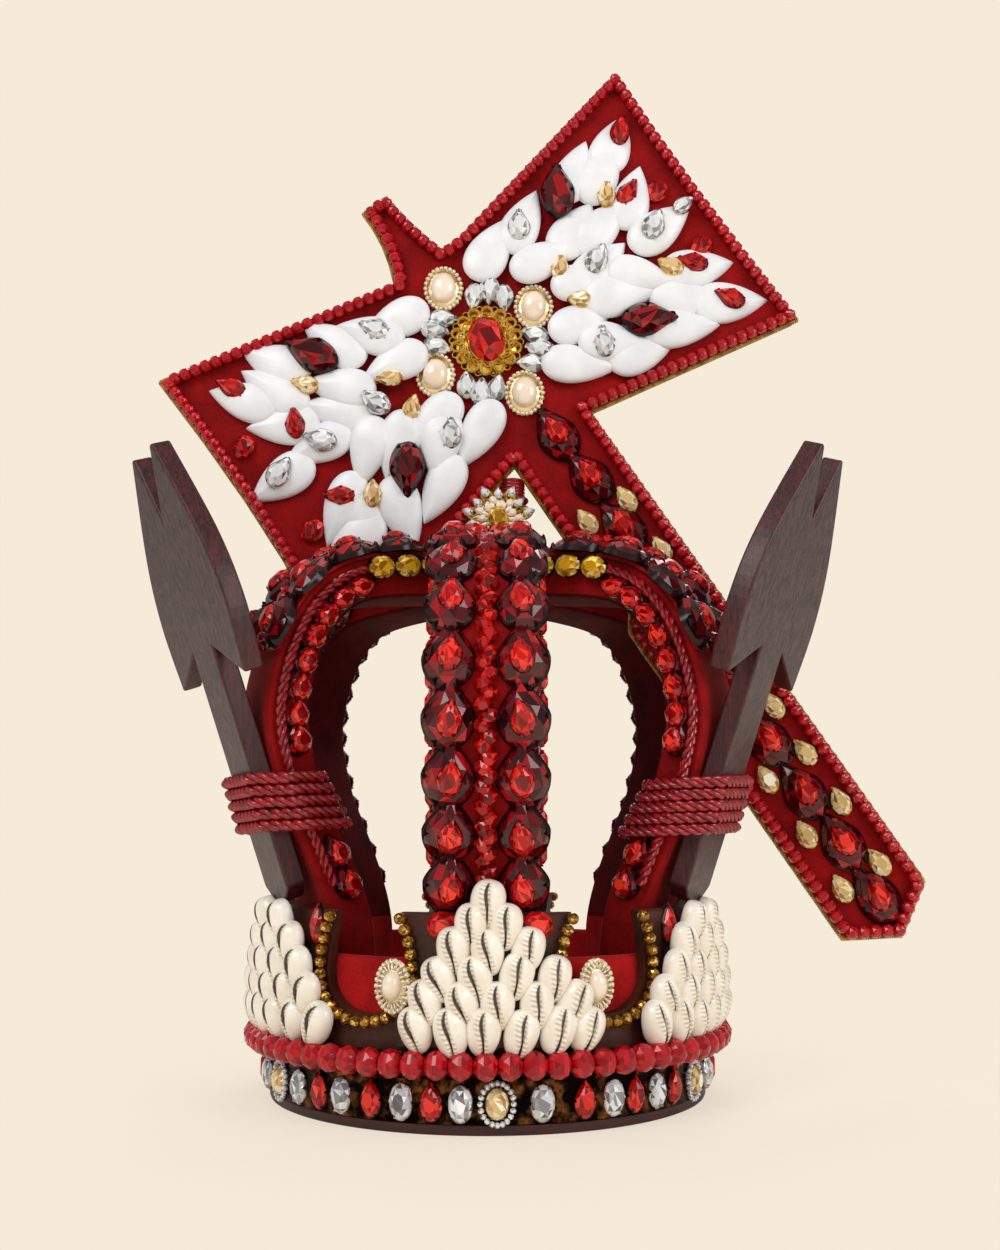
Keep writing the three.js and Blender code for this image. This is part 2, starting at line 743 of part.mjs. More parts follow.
// The stones of a row overlap, so that they make one string
function handleRow(start, count) {
  const { pitch, overlap, width, height } = handleStones;
  const stones = Array.from({ length: count }, (_, i) =>
    onPlate(stone({ width, length: pitch + overlap, height }, stoneCut.pearTaper), 0, start - i * pitch));
  return placeOnPlate(join(stones));
}

// Wooden double axe: outline from the foot up the right side and down the left
function handAxeOutline() {
  const { handleHalfWidth, notchU, barbU, barbHalfWidth, vU } = handAxe;
  const edge = [
    new THREE.Vector2(barbHalfWidth, barbU),
    new THREE.Vector2(handAxe.bellyHalfWidth, handAxe.bellyU),
    new THREE.Vector2(handAxe.shoulderHalfWidth, handAxe.shoulderU),
    new THREE.Vector2(handAxe.hornHalfWidth, handAxe.hornU),
  ];
  const mirrored = edge.map((point) => new THREE.Vector2(-point.x, point.y)).reverse();
  const shape = new THREE.Shape();
  shape.moveTo(-handleHalfWidth / 2, 0);
  shape.lineTo(handleHalfWidth / 2, 0);
  shape.lineTo(handleHalfWidth, handleHalfWidth / 2);
  shape.lineTo(handleHalfWidth, notchU);
  shape.lineTo(barbHalfWidth, barbU);
  shape.splineThru(edge.slice(1));
  shape.lineTo(0, vU);
  shape.lineTo(mirrored[0].x, mirrored[0].y);
  shape.splineThru(mirrored.slice(1));
  shape.lineTo(-handleHalfWidth, notchU);
  shape.lineTo(-handleHalfWidth, handleHalfWidth / 2);
  return shape;
}

// The board's inner face touches the arch where the cord ties them
function handAxeBoard() {
  const { thickness, bevel, lean, curveDivisions } = handAxe;
  const board = new THREE.ExtrudeGeometry(handAxeOutline(), {
    depth: thickness - 2 * bevel,
    bevelThickness: bevel,
    bevelSize: bevel,
    bevelOffset: -bevel,
    bevelSegments: 1,
    curveSegments: curveDivisions,
  });
  const slope = Math.tan(lean * degree);
  const inner = archRadius(arch.tieOut) + seatGap + (handAxe.footZ - arch.tieZ) * slope;
  board.translate(0, 0, bevel).rotateX(Math.PI / 2 + lean * degree);
  return board.translate(0, -inner, handAxe.footZ);
}

// Cord wound round the arch and the handle that leans on it
class Winding extends THREE.Curve {
  constructor({ turns, pitch, halfLength, halfWidth, squareness, drift, centre }) {
    super();
    Object.assign(this, { turns, pitch, halfLength, halfWidth, squareness, drift, centre });
  }

  getPoint(t, target = new THREE.Vector3()) {
    const angle = (t * this.turns + 1 / 4) * Math.PI * 2;
    const rise = (t - 1 / 2) * this.turns * this.pitch;
    const power = 2 / this.squareness;
    const side = (value) => Math.sign(value) * Math.abs(value) ** power;
    const x = this.halfWidth * side(Math.cos(angle));
    const y = this.halfLength * side(Math.sin(angle)) - rise * this.drift;
    return target.set(x, y, rise).add(this.centre);
  }
}

// Least gap between neighbouring turns, measured on the points of the centre line
function printLeastGap(name, curve, { turns, stepsPerTurn, radius }) {
  const points = curve.getSpacedPoints(turns * stepsPerTurn);
  let least = Infinity;
  points.forEach((point, i) => {
    for (let j = i + Math.round(stepsPerTurn / 2); j < points.length; j += 1) {
      least = Math.min(least, point.distanceTo(points[j]) - 2 * radius);
    }
  });
  console.log('least gap in the', name, least.toFixed(2));
}

function archTie() {
  const slope = Math.tan(handAxe.lean * degree);
  const middle = archRadius(arch.tieOut) + (tie.centreZ - arch.tieZ) * slope;
  const outer = middle + seatGap + handAxe.thickness / Math.cos(handAxe.lean * degree);
  const inner = middle - arch.thickness - tie.backMargin;
  const reach = tie.radius + tie.clearance;
  const curve = new Winding({
    ...tie,
    halfLength: (outer - inner) / 2 + reach + tie.lengthMargin,
    halfWidth: arch.width / 2 + seatGap + edgeCord.radius * 2 + reach,
    drift: (slope + Math.tan(sectorAngle / 2)) / 2,
    centre: new THREE.Vector3(0, -(outer + inner) / 2, tie.centreZ),
  });
  printLeastGap('arch tie', curve, tie);
  return tube(curve, tie.radius, tie.turns * tie.stepsPerTurn, tie.sides);
}

function postBinding() {
  const halfWidth = post.radius + seatGap + postTie.radius;
  const height = postTie.turns * postTie.pitch;
  const curve = new Winding({
    ...postTie,
    halfLength: halfWidth,
    halfWidth,
    drift: 0,
    centre: new THREE.Vector3(post.x, 0, arch.hubZ + post.rise - postTie.drop - height / 2),
  });
  printLeastGap('post tie', curve, postTie);
  return tube(curve, postTie.radius, postTie.turns * postTie.stepsPerTurn, postTie.sides);
}

// The crown
const crown = new THREE.Group();

crown.add(
  piece('base_rim', baseRim(), finishes.darkWood()),
  piece('stone_band', stoneBand(), finishes.leather()),
  piece('bead_ring', beadRingGeometry(), finishes.redBeads()),
  piece('crest_wall', crestWall(), finishes.leather()),
  piece('velvet_liner', velvetLiner(), finishes.velvet()),
  piece('top_hub', topHub(), finishes.velvet()),
  piece('topper_brooch', topperBrooch(), finishes.gold()),
  piece('post_binding', postBinding(), finishes.cord()),
);

for (const [name, side] of [['pearl_brooch_left', -1], ['pearl_brooch_right', 1]]) {
  const seat = crestRadius() + seatGap + edging.radius * 2 - pearl.sink;
  const brooch = onCrown(pearlBrooch(), side * pearl.azimuth * degree, seat, pearl.z);
  crown.add(piece(name, brooch, finishes.pearl()));
}

sectors.forEach((sector, i) => {
  const azimuth = i * sectorAngle;
  const edgingPiece = piece(`bead_edging_${i + 1}`, beadEdging(), finishes.gold());
  const carriesAxe = sector === 'right_front' || sector === 'left_front';
  const rows = carriesAxe ? cowrie.rows - 1 : cowrie.rows;
  const stripStart = carriesAxe ? jewelBand.tiedStartZ : jewelBand.startZ;
  const pieces = [
    piece(`cowrie_panel_${sector}`, cowriePanel(rows), finishes.shell()),
    piece(`arch_${sector}`, archBody(), finishes.velvet()),
    piece(`jewel_strip_${sector}`, jewelStrip(stripStart), finishes.darkGlass()),
    piece(`edge_cord_${sector}_left`, edgeCordTube(-1), finishes.cord()),
    piece(`edge_cord_${sector}_right`, edgeCordTube(1), finishes.cord()),
  ];
  if (carriesAxe) {
    const side = sector === 'right_front' ? 'right' : 'left';
    pieces.push(piece(`hand_axe_${side}`, handAxeBoard(), finishes.grainedWood()));
    pieces.push(piece(`arch_tie_${side}`, archTie(), finishes.cord()));
  }
  crown.add(turned(azimuth, ...pieces));
  crown.add(turned(azimuth + sectorAngle / 2, edgingPiece));
});

const { upperStart, upperCount, lowerStart, lowerCount } = handleStones;

crown.add(
  piece('axe_plate', axePlate(), finishes.velvet()),
  piece('plate_border', plateBorder(), finishes.redBeads()),
  piece('petal_spray_right', petalSpray(1), finishes.petal()),
  piece('petal_spray_left', petalSpray(-1), finishes.petal()),
  piece('centre_brooch', centreBrooch(), finishes.redGlass()),
  piece('handle_stones_upper', handleRow(upperStart, upperCount), finishes.darkGlass()),
  piece('handle_stones_lower', handleRow(lowerStart, lowerCount), finishes.darkGlass()),
);

// The origin is the middle of the standing crown's outer box
const middle = new THREE.Box3().setFromObject(crown, true).getCenter(new THREE.Vector3());
crown.position.set(-middle.x, -middle.y, 0);

export default crown;
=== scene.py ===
from math import atan2, copysign, cos, degrees, exp, hypot, pi, radians, sin, tan
from random import Random

import bmesh
import bpy
from mathutils import Euler, Matrix, Vector


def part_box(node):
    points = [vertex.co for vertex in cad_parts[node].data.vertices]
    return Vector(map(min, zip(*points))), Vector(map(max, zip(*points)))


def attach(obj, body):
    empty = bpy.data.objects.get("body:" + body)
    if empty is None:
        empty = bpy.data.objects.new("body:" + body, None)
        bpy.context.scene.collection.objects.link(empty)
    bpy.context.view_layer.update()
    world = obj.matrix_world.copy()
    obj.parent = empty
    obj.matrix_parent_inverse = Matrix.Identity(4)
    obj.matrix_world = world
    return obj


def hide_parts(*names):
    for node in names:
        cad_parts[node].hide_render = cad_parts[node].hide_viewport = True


# The crown is modelled in millimetres about its own axis, facing -Y, and each finished piece is moved to the frame
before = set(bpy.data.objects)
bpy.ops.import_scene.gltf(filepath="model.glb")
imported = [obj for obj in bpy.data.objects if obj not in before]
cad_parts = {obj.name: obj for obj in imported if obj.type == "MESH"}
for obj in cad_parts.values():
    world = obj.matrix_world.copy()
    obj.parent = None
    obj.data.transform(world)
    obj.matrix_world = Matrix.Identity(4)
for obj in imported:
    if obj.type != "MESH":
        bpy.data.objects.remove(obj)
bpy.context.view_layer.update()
rimLow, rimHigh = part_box("base_rim")
toFrame = Matrix.Translation(((rimLow.x + rimHigh.x) / 2, (rimLow.y + rimHigh.y) / 2, 0)) @ Matrix.Scale(0.001, 4)
sectors = ["front", "right_front", "right_back", "back", "left_back", "left_front"]
axeSectors = ("right_front", "left_front")  # these two arches carry the hand axes
sectorAngle = 60


def say(text):
    print("stage:", text)


def tone(red, green, blue):
    # screen colour 0-255 to the shader's linear colour
    def linear(value):
        value = value / 255
        return value / 12.92 if value <= 0.04045 else ((value + 0.055) / 1.055) ** 2.4
    return (linear(red), linear(green), linear(blue), 1.0)


class Maths:
    # wraps a number socket so that shader sums read as plain sums
    def __init__(self, tree, socket):
        self.tree, self.socket = tree, socket

    def make(self, operation, *values):
        node = self.tree.nodes.new("ShaderNodeMath")
        node.operation = operation
        for place, value in enumerate(values):
            if isinstance(value, Maths):
                self.tree.links.new(value.socket, node.inputs[place])
            else:
                node.inputs[place].default_value = value
        return Maths(self.tree, node.outputs[0])

    def __add__(self, other):
        return self.make("ADD", self, other)

    def __radd__(self, other):
        return self.make("ADD", other, self)

    def __sub__(self, other):
        return self.make("SUBTRACT", self, other)

    def __rsub__(self, other):
        return self.make("SUBTRACT", other, self)

    def __mul__(self, other):
        return self.make("MULTIPLY", self, other)

    def __rmul__(self, other):
        return self.make("MULTIPLY", other, self)

    def above(self, edge, softness):
        # 0 below the edge, 1 above it
        node = self.tree.nodes.new("ShaderNodeMapRange")
        node.interpolation_type = "SMOOTHSTEP"
        self.tree.links.new(self.socket, node.inputs["Value"])
        node.inputs["From Min"].default_value = edge - softness
        node.inputs["From Max"].default_value = edge + softness
        return Maths(self.tree, node.outputs[0])

    def wave(self, turns):
        return self.make("SINE", self * (turns * 2 * pi))

    def size(self):
        return self.make("ABSOLUTE", self)


class Nodes:
    # a tree, and one way to add any node to it; i0, i1 and so on name sockets by number
    def __init__(self, tree):
        self.tree = tree

    def node(self, kind, settings=None, **sockets):
        made = self.tree.nodes.new(kind)
        for key, value in (settings or {}).items():
            if key == "stops":
                elements = made.color_ramp.elements
                for stop, (place, colour) in enumerate(value):
                    element = elements[stop] if stop < 2 else elements.new(place)
                    element.position, element.color = place, colour
            else:
                setattr(made, key, value)
        for key, value in sockets.items():
            numbered = key[0] == "i" and key[1:].isdigit()
            self.give(value, made.inputs[int(key[1:]) if numbered else key.replace("_", " ")])
        return made

    def give(self, value, socket):
        if isinstance(value, Maths):
            self.tree.links.new(value.socket, socket)
        elif isinstance(value, bpy.types.NodeSocket):
            self.tree.links.new(value, socket)
        else:
            socket.default_value = value


class Finish(Nodes):
    # one material and the few nodes it needs
    def __init__(self, name, **shader):
        self.material = bpy.data.materials.new(name)
        self.material.use_nodes = True
        super().__init__(self.material.node_tree)
        self.shader = self.tree.nodes["Principled BSDF"]
        for socket, value in shader.items():
            self.shader.inputs[socket.replace("_", " ")].default_value = value

    def place(self):
        return self.node("ShaderNodeTexCoord").outputs["Object"]

    def noise(self, scale, detail, roughness, vector=None):
        made = self.node("ShaderNodeTexNoise", None, Scale=scale, Detail=detail, Roughness=roughness,
                         Vector=vector or self.place())
        return Maths(self.tree, made.outputs[0])

    def mix(self, factor, first, second):
        return self.node("ShaderNodeMix", {"data_type": "RGBA"}, i0=factor, i6=first, i7=second).outputs[2]

    def facets(self, seed):
        # a steady random number for each flat facet, from the way it faces; the gem finishes use it to paint
        # reflections and sparkle facet by facet
        normal = self.node("ShaderNodeNewGeometry").outputs["True Normal"]
        stepped = self.node("ShaderNodeVectorMath", {"operation": "SNAP"}, i0=normal, i1=(0.07, 0.07, 0.07))
        made = self.node("ShaderNodeTexWhiteNoise", {"noise_dimensions": "4D"}, Vector=stepped.outputs[0], W=seed)
        return Maths(self.tree, made.outputs[0])

    def colour(self, value):
        self.give(value, self.shader.inputs["Base Color"])
        return self

    def blend(self, mask, deep, lit):
        # the base colour runs from one screen colour to another
        return self.colour(self.mix(mask, tone(*deep), tone(*lit)))

    def rough(self, value):
        self.give(value, self.shader.inputs["Roughness"])

    def bump(self, height, strength, distance):
        made = self.node("ShaderNodeBump", None, Height=height, Strength=strength, Distance=distance)
        self.give(made.outputs[0], self.shader.inputs["Normal"])
        return self


def newPiece(name, mesh):
    piece = bpy.data.objects.new(name, mesh)
    bpy.context.scene.collection.objects.link(piece)
    return piece


# camera, light and floor; a light is its place, the height it aims at, its size and its power
cameraPlace = {"side": 5.5, "distance": 627.0, "height": 115.0, "pitch": 9.15, "lens": 37.555, "sensor": 36}
studio = {
    "background": (246, 235, 217), "skyColour": (1, 0.985, 0.96, 1), "worldLight": 0.62, "worldShine": 0.36,
    "floorReach": 6, "floorShade": {"From_Min": 0.1, "From_Max": 0.3, "To_Min": 0.72, "To_Max": 1.0},
    "lights": {"keyLight": ((-0.7, -1.1, 1.15), 0.22, 0.7, 9.0), "fillLight": ((0.95, -0.85, 0.65), 0.2, 0.6, 5.0),
               "rimLight": ((0.2, 0.9, 1.1), 0.25, 0.8, 6.0)},
}


def makeCamera():
    data = bpy.data.cameras.new("photoCamera")
    data.sensor_fit = "VERTICAL"
    data.sensor_height = cameraPlace["sensor"]
    data.lens = cameraPlace["lens"]
    camera = newPiece("photoCamera", data)
    camera.location = toFrame @ Vector((cameraPlace["side"], -cameraPlace["distance"], cameraPlace["height"]))
    camera.rotation_euler = Euler((radians(90 + cameraPlace["pitch"]), 0, 0))
    bpy.context.scene.camera = camera


def plainBehind(nodes, output, lit, kind):
    # the camera sees the plain background, also through glass
    paths = nodes.node("ShaderNodeLightPath")
    seen = nodes.node("ShaderNodeMath", {"operation": "MAXIMUM"}, i0=paths.outputs["Is Camera Ray"],
                      i1=paths.outputs["Is Transmission Ray"])
    shown = nodes.node(kind, None, Color=tone(*studio["background"]))
    mixed = nodes.node("ShaderNodeMixShader", None, i0=seen.outputs[0], i1=lit.outputs[0], i2=shown.outputs[0])
    nodes.give(mixed.outputs[0], nodes.tree.nodes[output].inputs["Surface"])
    return mixed, seen


def makeStudio():
    scene = bpy.context.scene
    scene.view_settings.view_transform = "Standard"
    scene.world = bpy.data.worlds.new("studio")
    scene.world.use_nodes = True
    world = Nodes(scene.world.node_tree)
    light = world.tree.nodes["Background"]
    level = world.node("ShaderNodeMapRange", None, To_Min=studio["worldLight"], To_Max=studio["worldShine"],
                       Value=world.node("ShaderNodeLightPath").outputs["Is Glossy Ray"])
    world.give(studio["skyColour"], light.inputs["Color"])
    world.give(level.outputs[0], light.inputs["Strength"])
    plainBehind(world, "World Output", light, "ShaderNodeBackground")
    for name, (place, aim, size, power) in studio["lights"].items():
        data = bpy.data.lights.new(name, "AREA")
        data.size, data.energy = size, power
        lamp = newPiece(name, data)
        lamp.location = place
        lamp.rotation_euler = (Vector((0, 0, aim)) - Vector(place)).to_track_quat("-Z", "Y").to_euler()
    mesh, reach = bpy.data.meshes.new("floor"), studio["floorReach"]
    corners = [(-reach, -reach, 0), (reach, -reach, 0), (reach, reach, 0), (-reach, reach, 0)]
    mesh.from_pydata(corners, [], [(0, 1, 2, 3)])
    floor = newPiece("floor", mesh)
    paint = Finish("paleFloor", Base_Color=tone(*studio["background"]), Roughness=0.8)
    mixed, seen = plainBehind(paint, "Material Output", paint.shader, "ShaderNodeEmission")
    away = paint.node("ShaderNodeVectorMath", {"operation": "LENGTH"}, i0=paint.place())
    fade = paint.node("ShaderNodeMapRange", {"interpolation_type": "SMOOTHSTEP"}, Value=away.outputs["Value"],
                      **studio["floorShade"])
    shade = paint.node("ShaderNodeMath", {"operation": "MULTIPLY"}, i0=seen.outputs[0], i1=fade.outputs[0])
    paint.give(shade.outputs[0], mixed.inputs[0])
    mesh.materials.append(paint.material)


makeCamera()
makeStudio()
say("camera and studio")


# finishes, whose colours are screen colours
def gemFinish(name, dark, middle, bright, seed, roughness=0.07, metallic=0.0, shine=0.12):
    gem = Finish(name, Roughness=roughness, Metallic=metallic, Coat_Weight=shine, Coat_Roughness=0.02, IOR=1.45)
    # the colour runs from dark to bright facet by facet: painted reflections and sparkle, on the stones and on the
    # faceted beads
    stops = [(0.0, tone(*dark)), (0.7, tone(*middle)), (0.98, tone(*bright))]
    return gem.colour(gem.node("ShaderNodeValToRGB", {"stops": stops}, Fac=gem.facets(seed)).outputs[0]).material


def velvetFinish(name, deep, lit, sheen=0.35):
    velvet = Finish(name, Roughness=0.9, Sheen_Weight=sheen, Sheen_Roughness=0.35, Sheen_Tint=(1.0, 0.25, 0.2, 1),
                    Specular_IOR_Level=0.15)
    cloudy, pile = velvet.noise(55, 3, 0.6), velvet.noise(900, 2, 0.6)
    velvet.blend((cloudy * 0.75 + pile * 0.35).above(0.55, 0.3), deep, lit)
    return velvet.bump(pile, 0.5, 0.0003).material


def satinFinish(name, deep, lit):
    cord = Finish(name, Roughness=0.24, Coat_Weight=0.4, Coat_Roughness=0.18)
    fibre = cord.noise(260, 3, 0.6)
    return cord.blend(fibre.above(0.5, 0.25), deep, lit).bump(fibre, 0.3, 0.0002).material


def mountFinish(name, deep, lit):
    mount = Finish(name, Roughness=0.24, Coat_Weight=0.1, Specular_IOR_Level=0.3)
    cloudyPatches = mount.noise(160, 3, 0.6)
    return mount.blend(cloudyPatches.above(0.5, 0.3), deep, lit).bump(cloudyPatches, 0.15, 0.0002).material


def metalFinish(name, deep, lit, roughness=0.22, cover=0.52):
    metal = Finish(name, Metallic=1.0, Roughness=roughness)
    cloudyPatches = metal.noise(140, 4, 0.6)
    metal.rough(cloudyPatches * 0.25 + roughness * 0.6)
    # the colour runs between two tones in cloudy patches; on copperFoil the bright patches on the near-black foil are
    # painted glints
    return metal.blend(cloudyPatches.above(cover, 0.2), deep, lit).bump(cloudyPatches, 0.2, 0.0002).material


def woodFinish(name, deep, lit, scale):
    wood = Finish(name, Coat_Weight=0.16, Coat_Roughness=0.25)
    across = wood.node("ShaderNodeMapping", None, Vector=wood.place(), Scale=scale).outputs[0]
    grain, streak = wood.noise(60, 5, 0.65, across), wood.noise(240, 3, 0.7, across)
    wood.blend((grain * 0.7 + streak * 0.4).above(0.56, 0.14), deep, lit)
    wood.rough(0.34 + streak * 0.25)
    return wood.bump(streak * 0.6 + grain * 0.4, 0.35, 0.0004).material


def leatherFinish(name, deep, lit):
    leather = Finish(name, Coat_Weight=0.1, Coat_Roughness=0.25, Specular_IOR_Level=0.3)
    cells = leather.node("ShaderNodeTexVoronoi", {"feature": "DISTANCE_TO_EDGE"}, Vector=leather.place(), Scale=700.0)
    cloudy = leather.noise(45, 4, 0.6)
    leather.blend(cloudy.above(0.5, 0.25), deep, lit)
    leather.rough(0.38 + cloudy * 0.25)
    return leather.bump(Maths(leather.tree, cells.outputs[0]).above(0.05, 0.05), 0.3, 0.0002).material


def shellFinish(name):
    # its own chart runs along the shell and across it, with the slit in the middle
    shell = Finish(name, Roughness=0.28, Coat_Weight=0.5, Coat_Roughness=0.12)
    chart = shell.node("ShaderNodeSeparateXYZ", None, Vector=shell.node("ShaderNodeTexCoord").outputs["UV"])
    along, across = (Maths(shell.tree, chart.outputs[i]) for i in (0, 1))
    middle = (across - 0.5 + (along.wave(1) - 0.5) * 0.05).size()
    inside = 1 - (along - 0.5).size().above(0.40, 0.04)
    slit = (1 - middle.above(0.034, 0.016)) * inside
    lip = (1 - middle.above(0.11, 0.03)) * inside
    teeth, cloudy = along.wave(15), shell.noise(120, 4, 0.6)
    body = shell.mix(cloudy.above(0.5, 0.3), tone(238, 228, 208), tone(252, 247, 238))
    rim = shell.mix(middle.above(0.38, 0.1), body, tone(254, 250, 243))
    toothed = shell.mix(teeth.above(0.2, 0.4) * lip * 0.55, rim, tone(176, 146, 108))
    # the slit gets a near-black brown: painted shade inside the shell's opening
    shell.colour(shell.mix(slit, toothed, tone(50, 28, 14)))
    return shell.bump(teeth * lip * 0.5 + cloudy * 0.3, 0.35, 0.0005).material


def smoothFinish(name, deep, lit, scale, strength, distance, **shader):
    # an even enamel or pearl, a little cloudy
    smooth = Finish(name, **shader)
    cloudy = smooth.noise(scale, 3, 0.5)
    return smooth.blend(cloudy.above(0.5, 0.3), deep, lit).bump(cloudy, strength, distance).material


finishes = {
    "darkGem": gemFinish("darkRedStone", (22, 0, 3), (92, 4, 12), (176, 18, 22), 1.0),
    "brightGem": gemFinish("brightRedStone", (104, 2, 4), (198, 14, 11), (246, 62, 42), 2.0),
    "clearGem": gemFinish("clearStone", (84, 86, 90), (228, 231, 234), (255, 255, 255), 3.0, 0.05, 0.0, 0.6),
    "amberGem": gemFinish("amberStone", (120, 74, 4), (214, 158, 22), (255, 236, 130), 4.0),
    "paleAmberGem": gemFinish("paleAmberStone", (150, 100, 40), (240, 212, 150), (255, 250, 228), 5.0, 0.06, 0.0, 0.4),
    "creamGem": gemFinish("creamStone", (170, 140, 96), (244, 228, 196), (255, 252, 240), 8.0, 0.08, 0.0, 0.5),
    "ridgeGem": gemFinish("ridgeStone", (84, 0, 4), (164, 8, 10), (222, 40, 28), 9.0),
    "headGem": gemFinish("petalRedStone", (96, 0, 6), (186, 12, 14), (244, 62, 46), 11.0),
    "mount": mountFinish("darkMount", (12, 1, 3), (38, 4, 8)),
    "redBead": gemFinish("redBead", (132, 4, 14), (176, 10, 22), (202, 26, 38), 6.0, 0.16),
    "goldBead": gemFinish("goldBead", (92, 56, 12), (186, 132, 42), (250, 214, 120), 7.0, 0.2, 0.75),
    "velvet": velvetFinish("redVelvet", (100, 5, 7), (158, 14, 15)),
    # a darker copy of the red velvet for the faces under the arches: painted shade
    "shadeVelvet": velvetFinish("shadedVelvet", (46, 0, 2), (92, 3, 5), 0.04),
    "linerVelvet": velvetFinish("linerVelvet", (120, 8, 10), (186, 24, 22)),
    "cord": satinFinish("redSatinCord", (104, 3, 13), (172, 20, 32)),
    "goldCord": satinFinish("goldCord", (128, 84, 22), (224, 178, 84)),
    "gold": metalFinish("warmGold", (214, 158, 48), (255, 222, 120)),
    "paleGold": metalFinish("paleGold", (232, 198, 136), (255, 242, 204), 0.3),
    "silver": metalFinish("silver", (150, 148, 146), (238, 236, 232), 0.2),
    # near-black foil whose bright patches are painted glints
    "copperFoil": metalFinish("copperFoil", (15, 8, 7), (176, 112, 62), 0.35, 0.67),
    "lacquer": woodFinish("darkLacquer", (38, 10, 10), (70, 18, 16), (1.0, 1.0, 12.0)),
    "woodFace": woodFinish("grainedWood", (30, 16, 18), (88, 60, 60), (9.0, 9.0, 0.7)),
    "woodEdge": woodFinish("maroonWood", (30, 4, 6), (84, 14, 14), (9.0, 9.0, 0.9)),
    "leather": leatherFinish("brownLeather", (42, 18, 9), (84, 42, 23)),
    "shell": shellFinish("cowrieShell"),
    "petal": smoothFinish("whitePetal", (222, 224, 229), (238, 239, 242), 70, 0.12, 0.0006,
                          Roughness=0.38, Coat_Weight=0.15, Coat_Roughness=0.3),
    "pearl": smoothFinish("pearl", (233, 206, 178), (250, 236, 220), 90, 0.05, 0.0003,
                          Roughness=0.18, Coat_Weight=0.8, Coat_Roughness=0.06),
}
say("finishes")


def shift(x, y, z):
    return Matrix.Translation((x, y, z))


def turned(angle, axis="Z"):
    return Matrix.Rotation(radians(angle), 4, axis)


def grown(x, y, z):
    return Matrix.Diagonal((x, y, z, 1))


def raised(place, height):
    return place @ shift(0, 0, height)


def sized(width, length, height):
    return (width / 2, length / 2, height)


def lineLength(line):
    return sum((after - before).length for before, after in zip(line, line[1:]))


def onRing(radius, angle, height):
    return Vector((radius * sin(angle), -radius * cos(angle), height))


def frontPlace(azimuth, radius, height, lean=0.0, spin=0.0):
    # where a shape made on the XY plane stands on the crown's side, its table outward
    return turned(azimuth) @ shift(0, -radius, height) @ turned(90 + lean, "X") @ turned(spin)


def builtMesh(name, build):
    shape = bmesh.new()
    build(shape)
    bmesh.ops.recalc_face_normals(shape, faces=shape.faces)
    mesh = bpy.data.meshes.new(name)
    shape.to_mesh(mesh)
    shape.free()
    return mesh


def hull(name, points):
    def build(shape):
        for point in points:
            shape.verts.new(point)
        found = bmesh.ops.convex_hull(shape, input=list(shape.verts))
        inner = {item for item in found["geom_interior"] + found["geom_unused"] if isinstance(item, bmesh.types.BMVert)}
        if inner:
            bmesh.ops.delete(shape, geom=list(inner), context="VERTS")
    return builtMesh(name, build)


def extruded(name, corners, offset):
    # a solid between an outline and the same outline moved
    def build(shape):
        face = shape.faces.new([shape.verts.new(corner) for corner in corners])
        made = bmesh.ops.extrude_face_region(shape, geom=[face])["geom"]
        bmesh.ops.translate(shape, vec=offset, verts=[item for item in made if isinstance(item, bmesh.types.BMVert)])
    return newPiece(name, builtMesh(name, build))


def gridMesh(rows, columns, place, charted=False, closedAlong=False, closedAcross=True):
    # a sheet of quads whose corners come from place(row share, column share), welded, closed and facing outward
    vertices, faces, charts = [], [], []
    wide = columns + (0 if closedAcross else 1)
    tall = rows + (0 if closedAlong else 1)
    for row in range(tall):
        for column in range(wide):
            vertices.append(place(row / rows, column / columns))
    for row in range(rows):
        for column in range(columns):
            after, above = (column + 1) % wide, (row + 1) % tall
            faces.append((row * wide + column, row * wide + after, above * wide + after, above * wide + column))
            charts += [row / rows, column / columns, row / rows, (column + 1) / columns,
                       (row + 1) / rows, (column + 1) / columns, (row + 1) / rows, column / columns]
    mesh = bpy.data.meshes.new("grid")
    mesh.from_pydata(vertices, [], faces)
    if charted:
        mesh.uv_layers.new(name="UVMap").data.foreach_set("uv", charts)
    shape = bmesh.new()
    shape.from_mesh(mesh)
    bmesh.ops.remove_doubles(shape, verts=shape.verts, dist=1e-4)
    bmesh.ops.dissolve_degenerate(shape, edges=shape.edges, dist=1e-4)
    bmesh.ops.holes_fill(shape, edges=[edge for edge in shape.edges if edge.is_boundary], sides=0)
    bmesh.ops.recalc_face_normals(shape, faces=shape.faces)
    shape.to_mesh(mesh)
    shape.free()
    return mesh


def ringMesh(profile, steps=192):
    # a closed profile of (radius, height) points turned about the axis
    count = len(profile)

    def place(row, column):
        radius, height = profile[round(column * count) % count]
        return onRing(radius, row * 2 * pi, height)
    return gridMesh(steps, count, place, closedAlong=True)


def evenly(line, count):
    lengths = [0.0]
    for first, second in zip(line, line[1:]):
        lengths.append(lengths[-1] + (second - first).length)
    result, k = [], 0
    for i in range(count):
        target = lengths[-1] * i / (count - 1)
        while k < len(lengths) - 2 and lengths[k + 1] < target:
            k += 1
        span = lengths[k + 1] - lengths[k] or 1.0
        result.append(line[k].lerp(line[k + 1], min(1.0, max(0.0, (target - lengths[k]) / span))))
    return result


def smoothPath(points, count):
    # evenly spaced points on a smooth curve through the given ones
    last, steps, fine = len(points) - 1, len(points) * 24, []
    for i in range(steps + 1):
        place = i / steps * last
        k = min(int(place), last - 1)
        w = place - k
        a, b, c, d = (points[max(0, min(last, k + j))] for j in (-1, 0, 1, 2))
        bend, twist = 2 * a - 5 * b + 4 * c - d, 3 * b - a - 3 * c + d
        fine.append(0.5 * (2 * b + (c - a) * w + bend * w * w + twist * w ** 3))
    return evenly(fine, count)


ropeShape = {"strands": 3, "strandShare": 0.56}


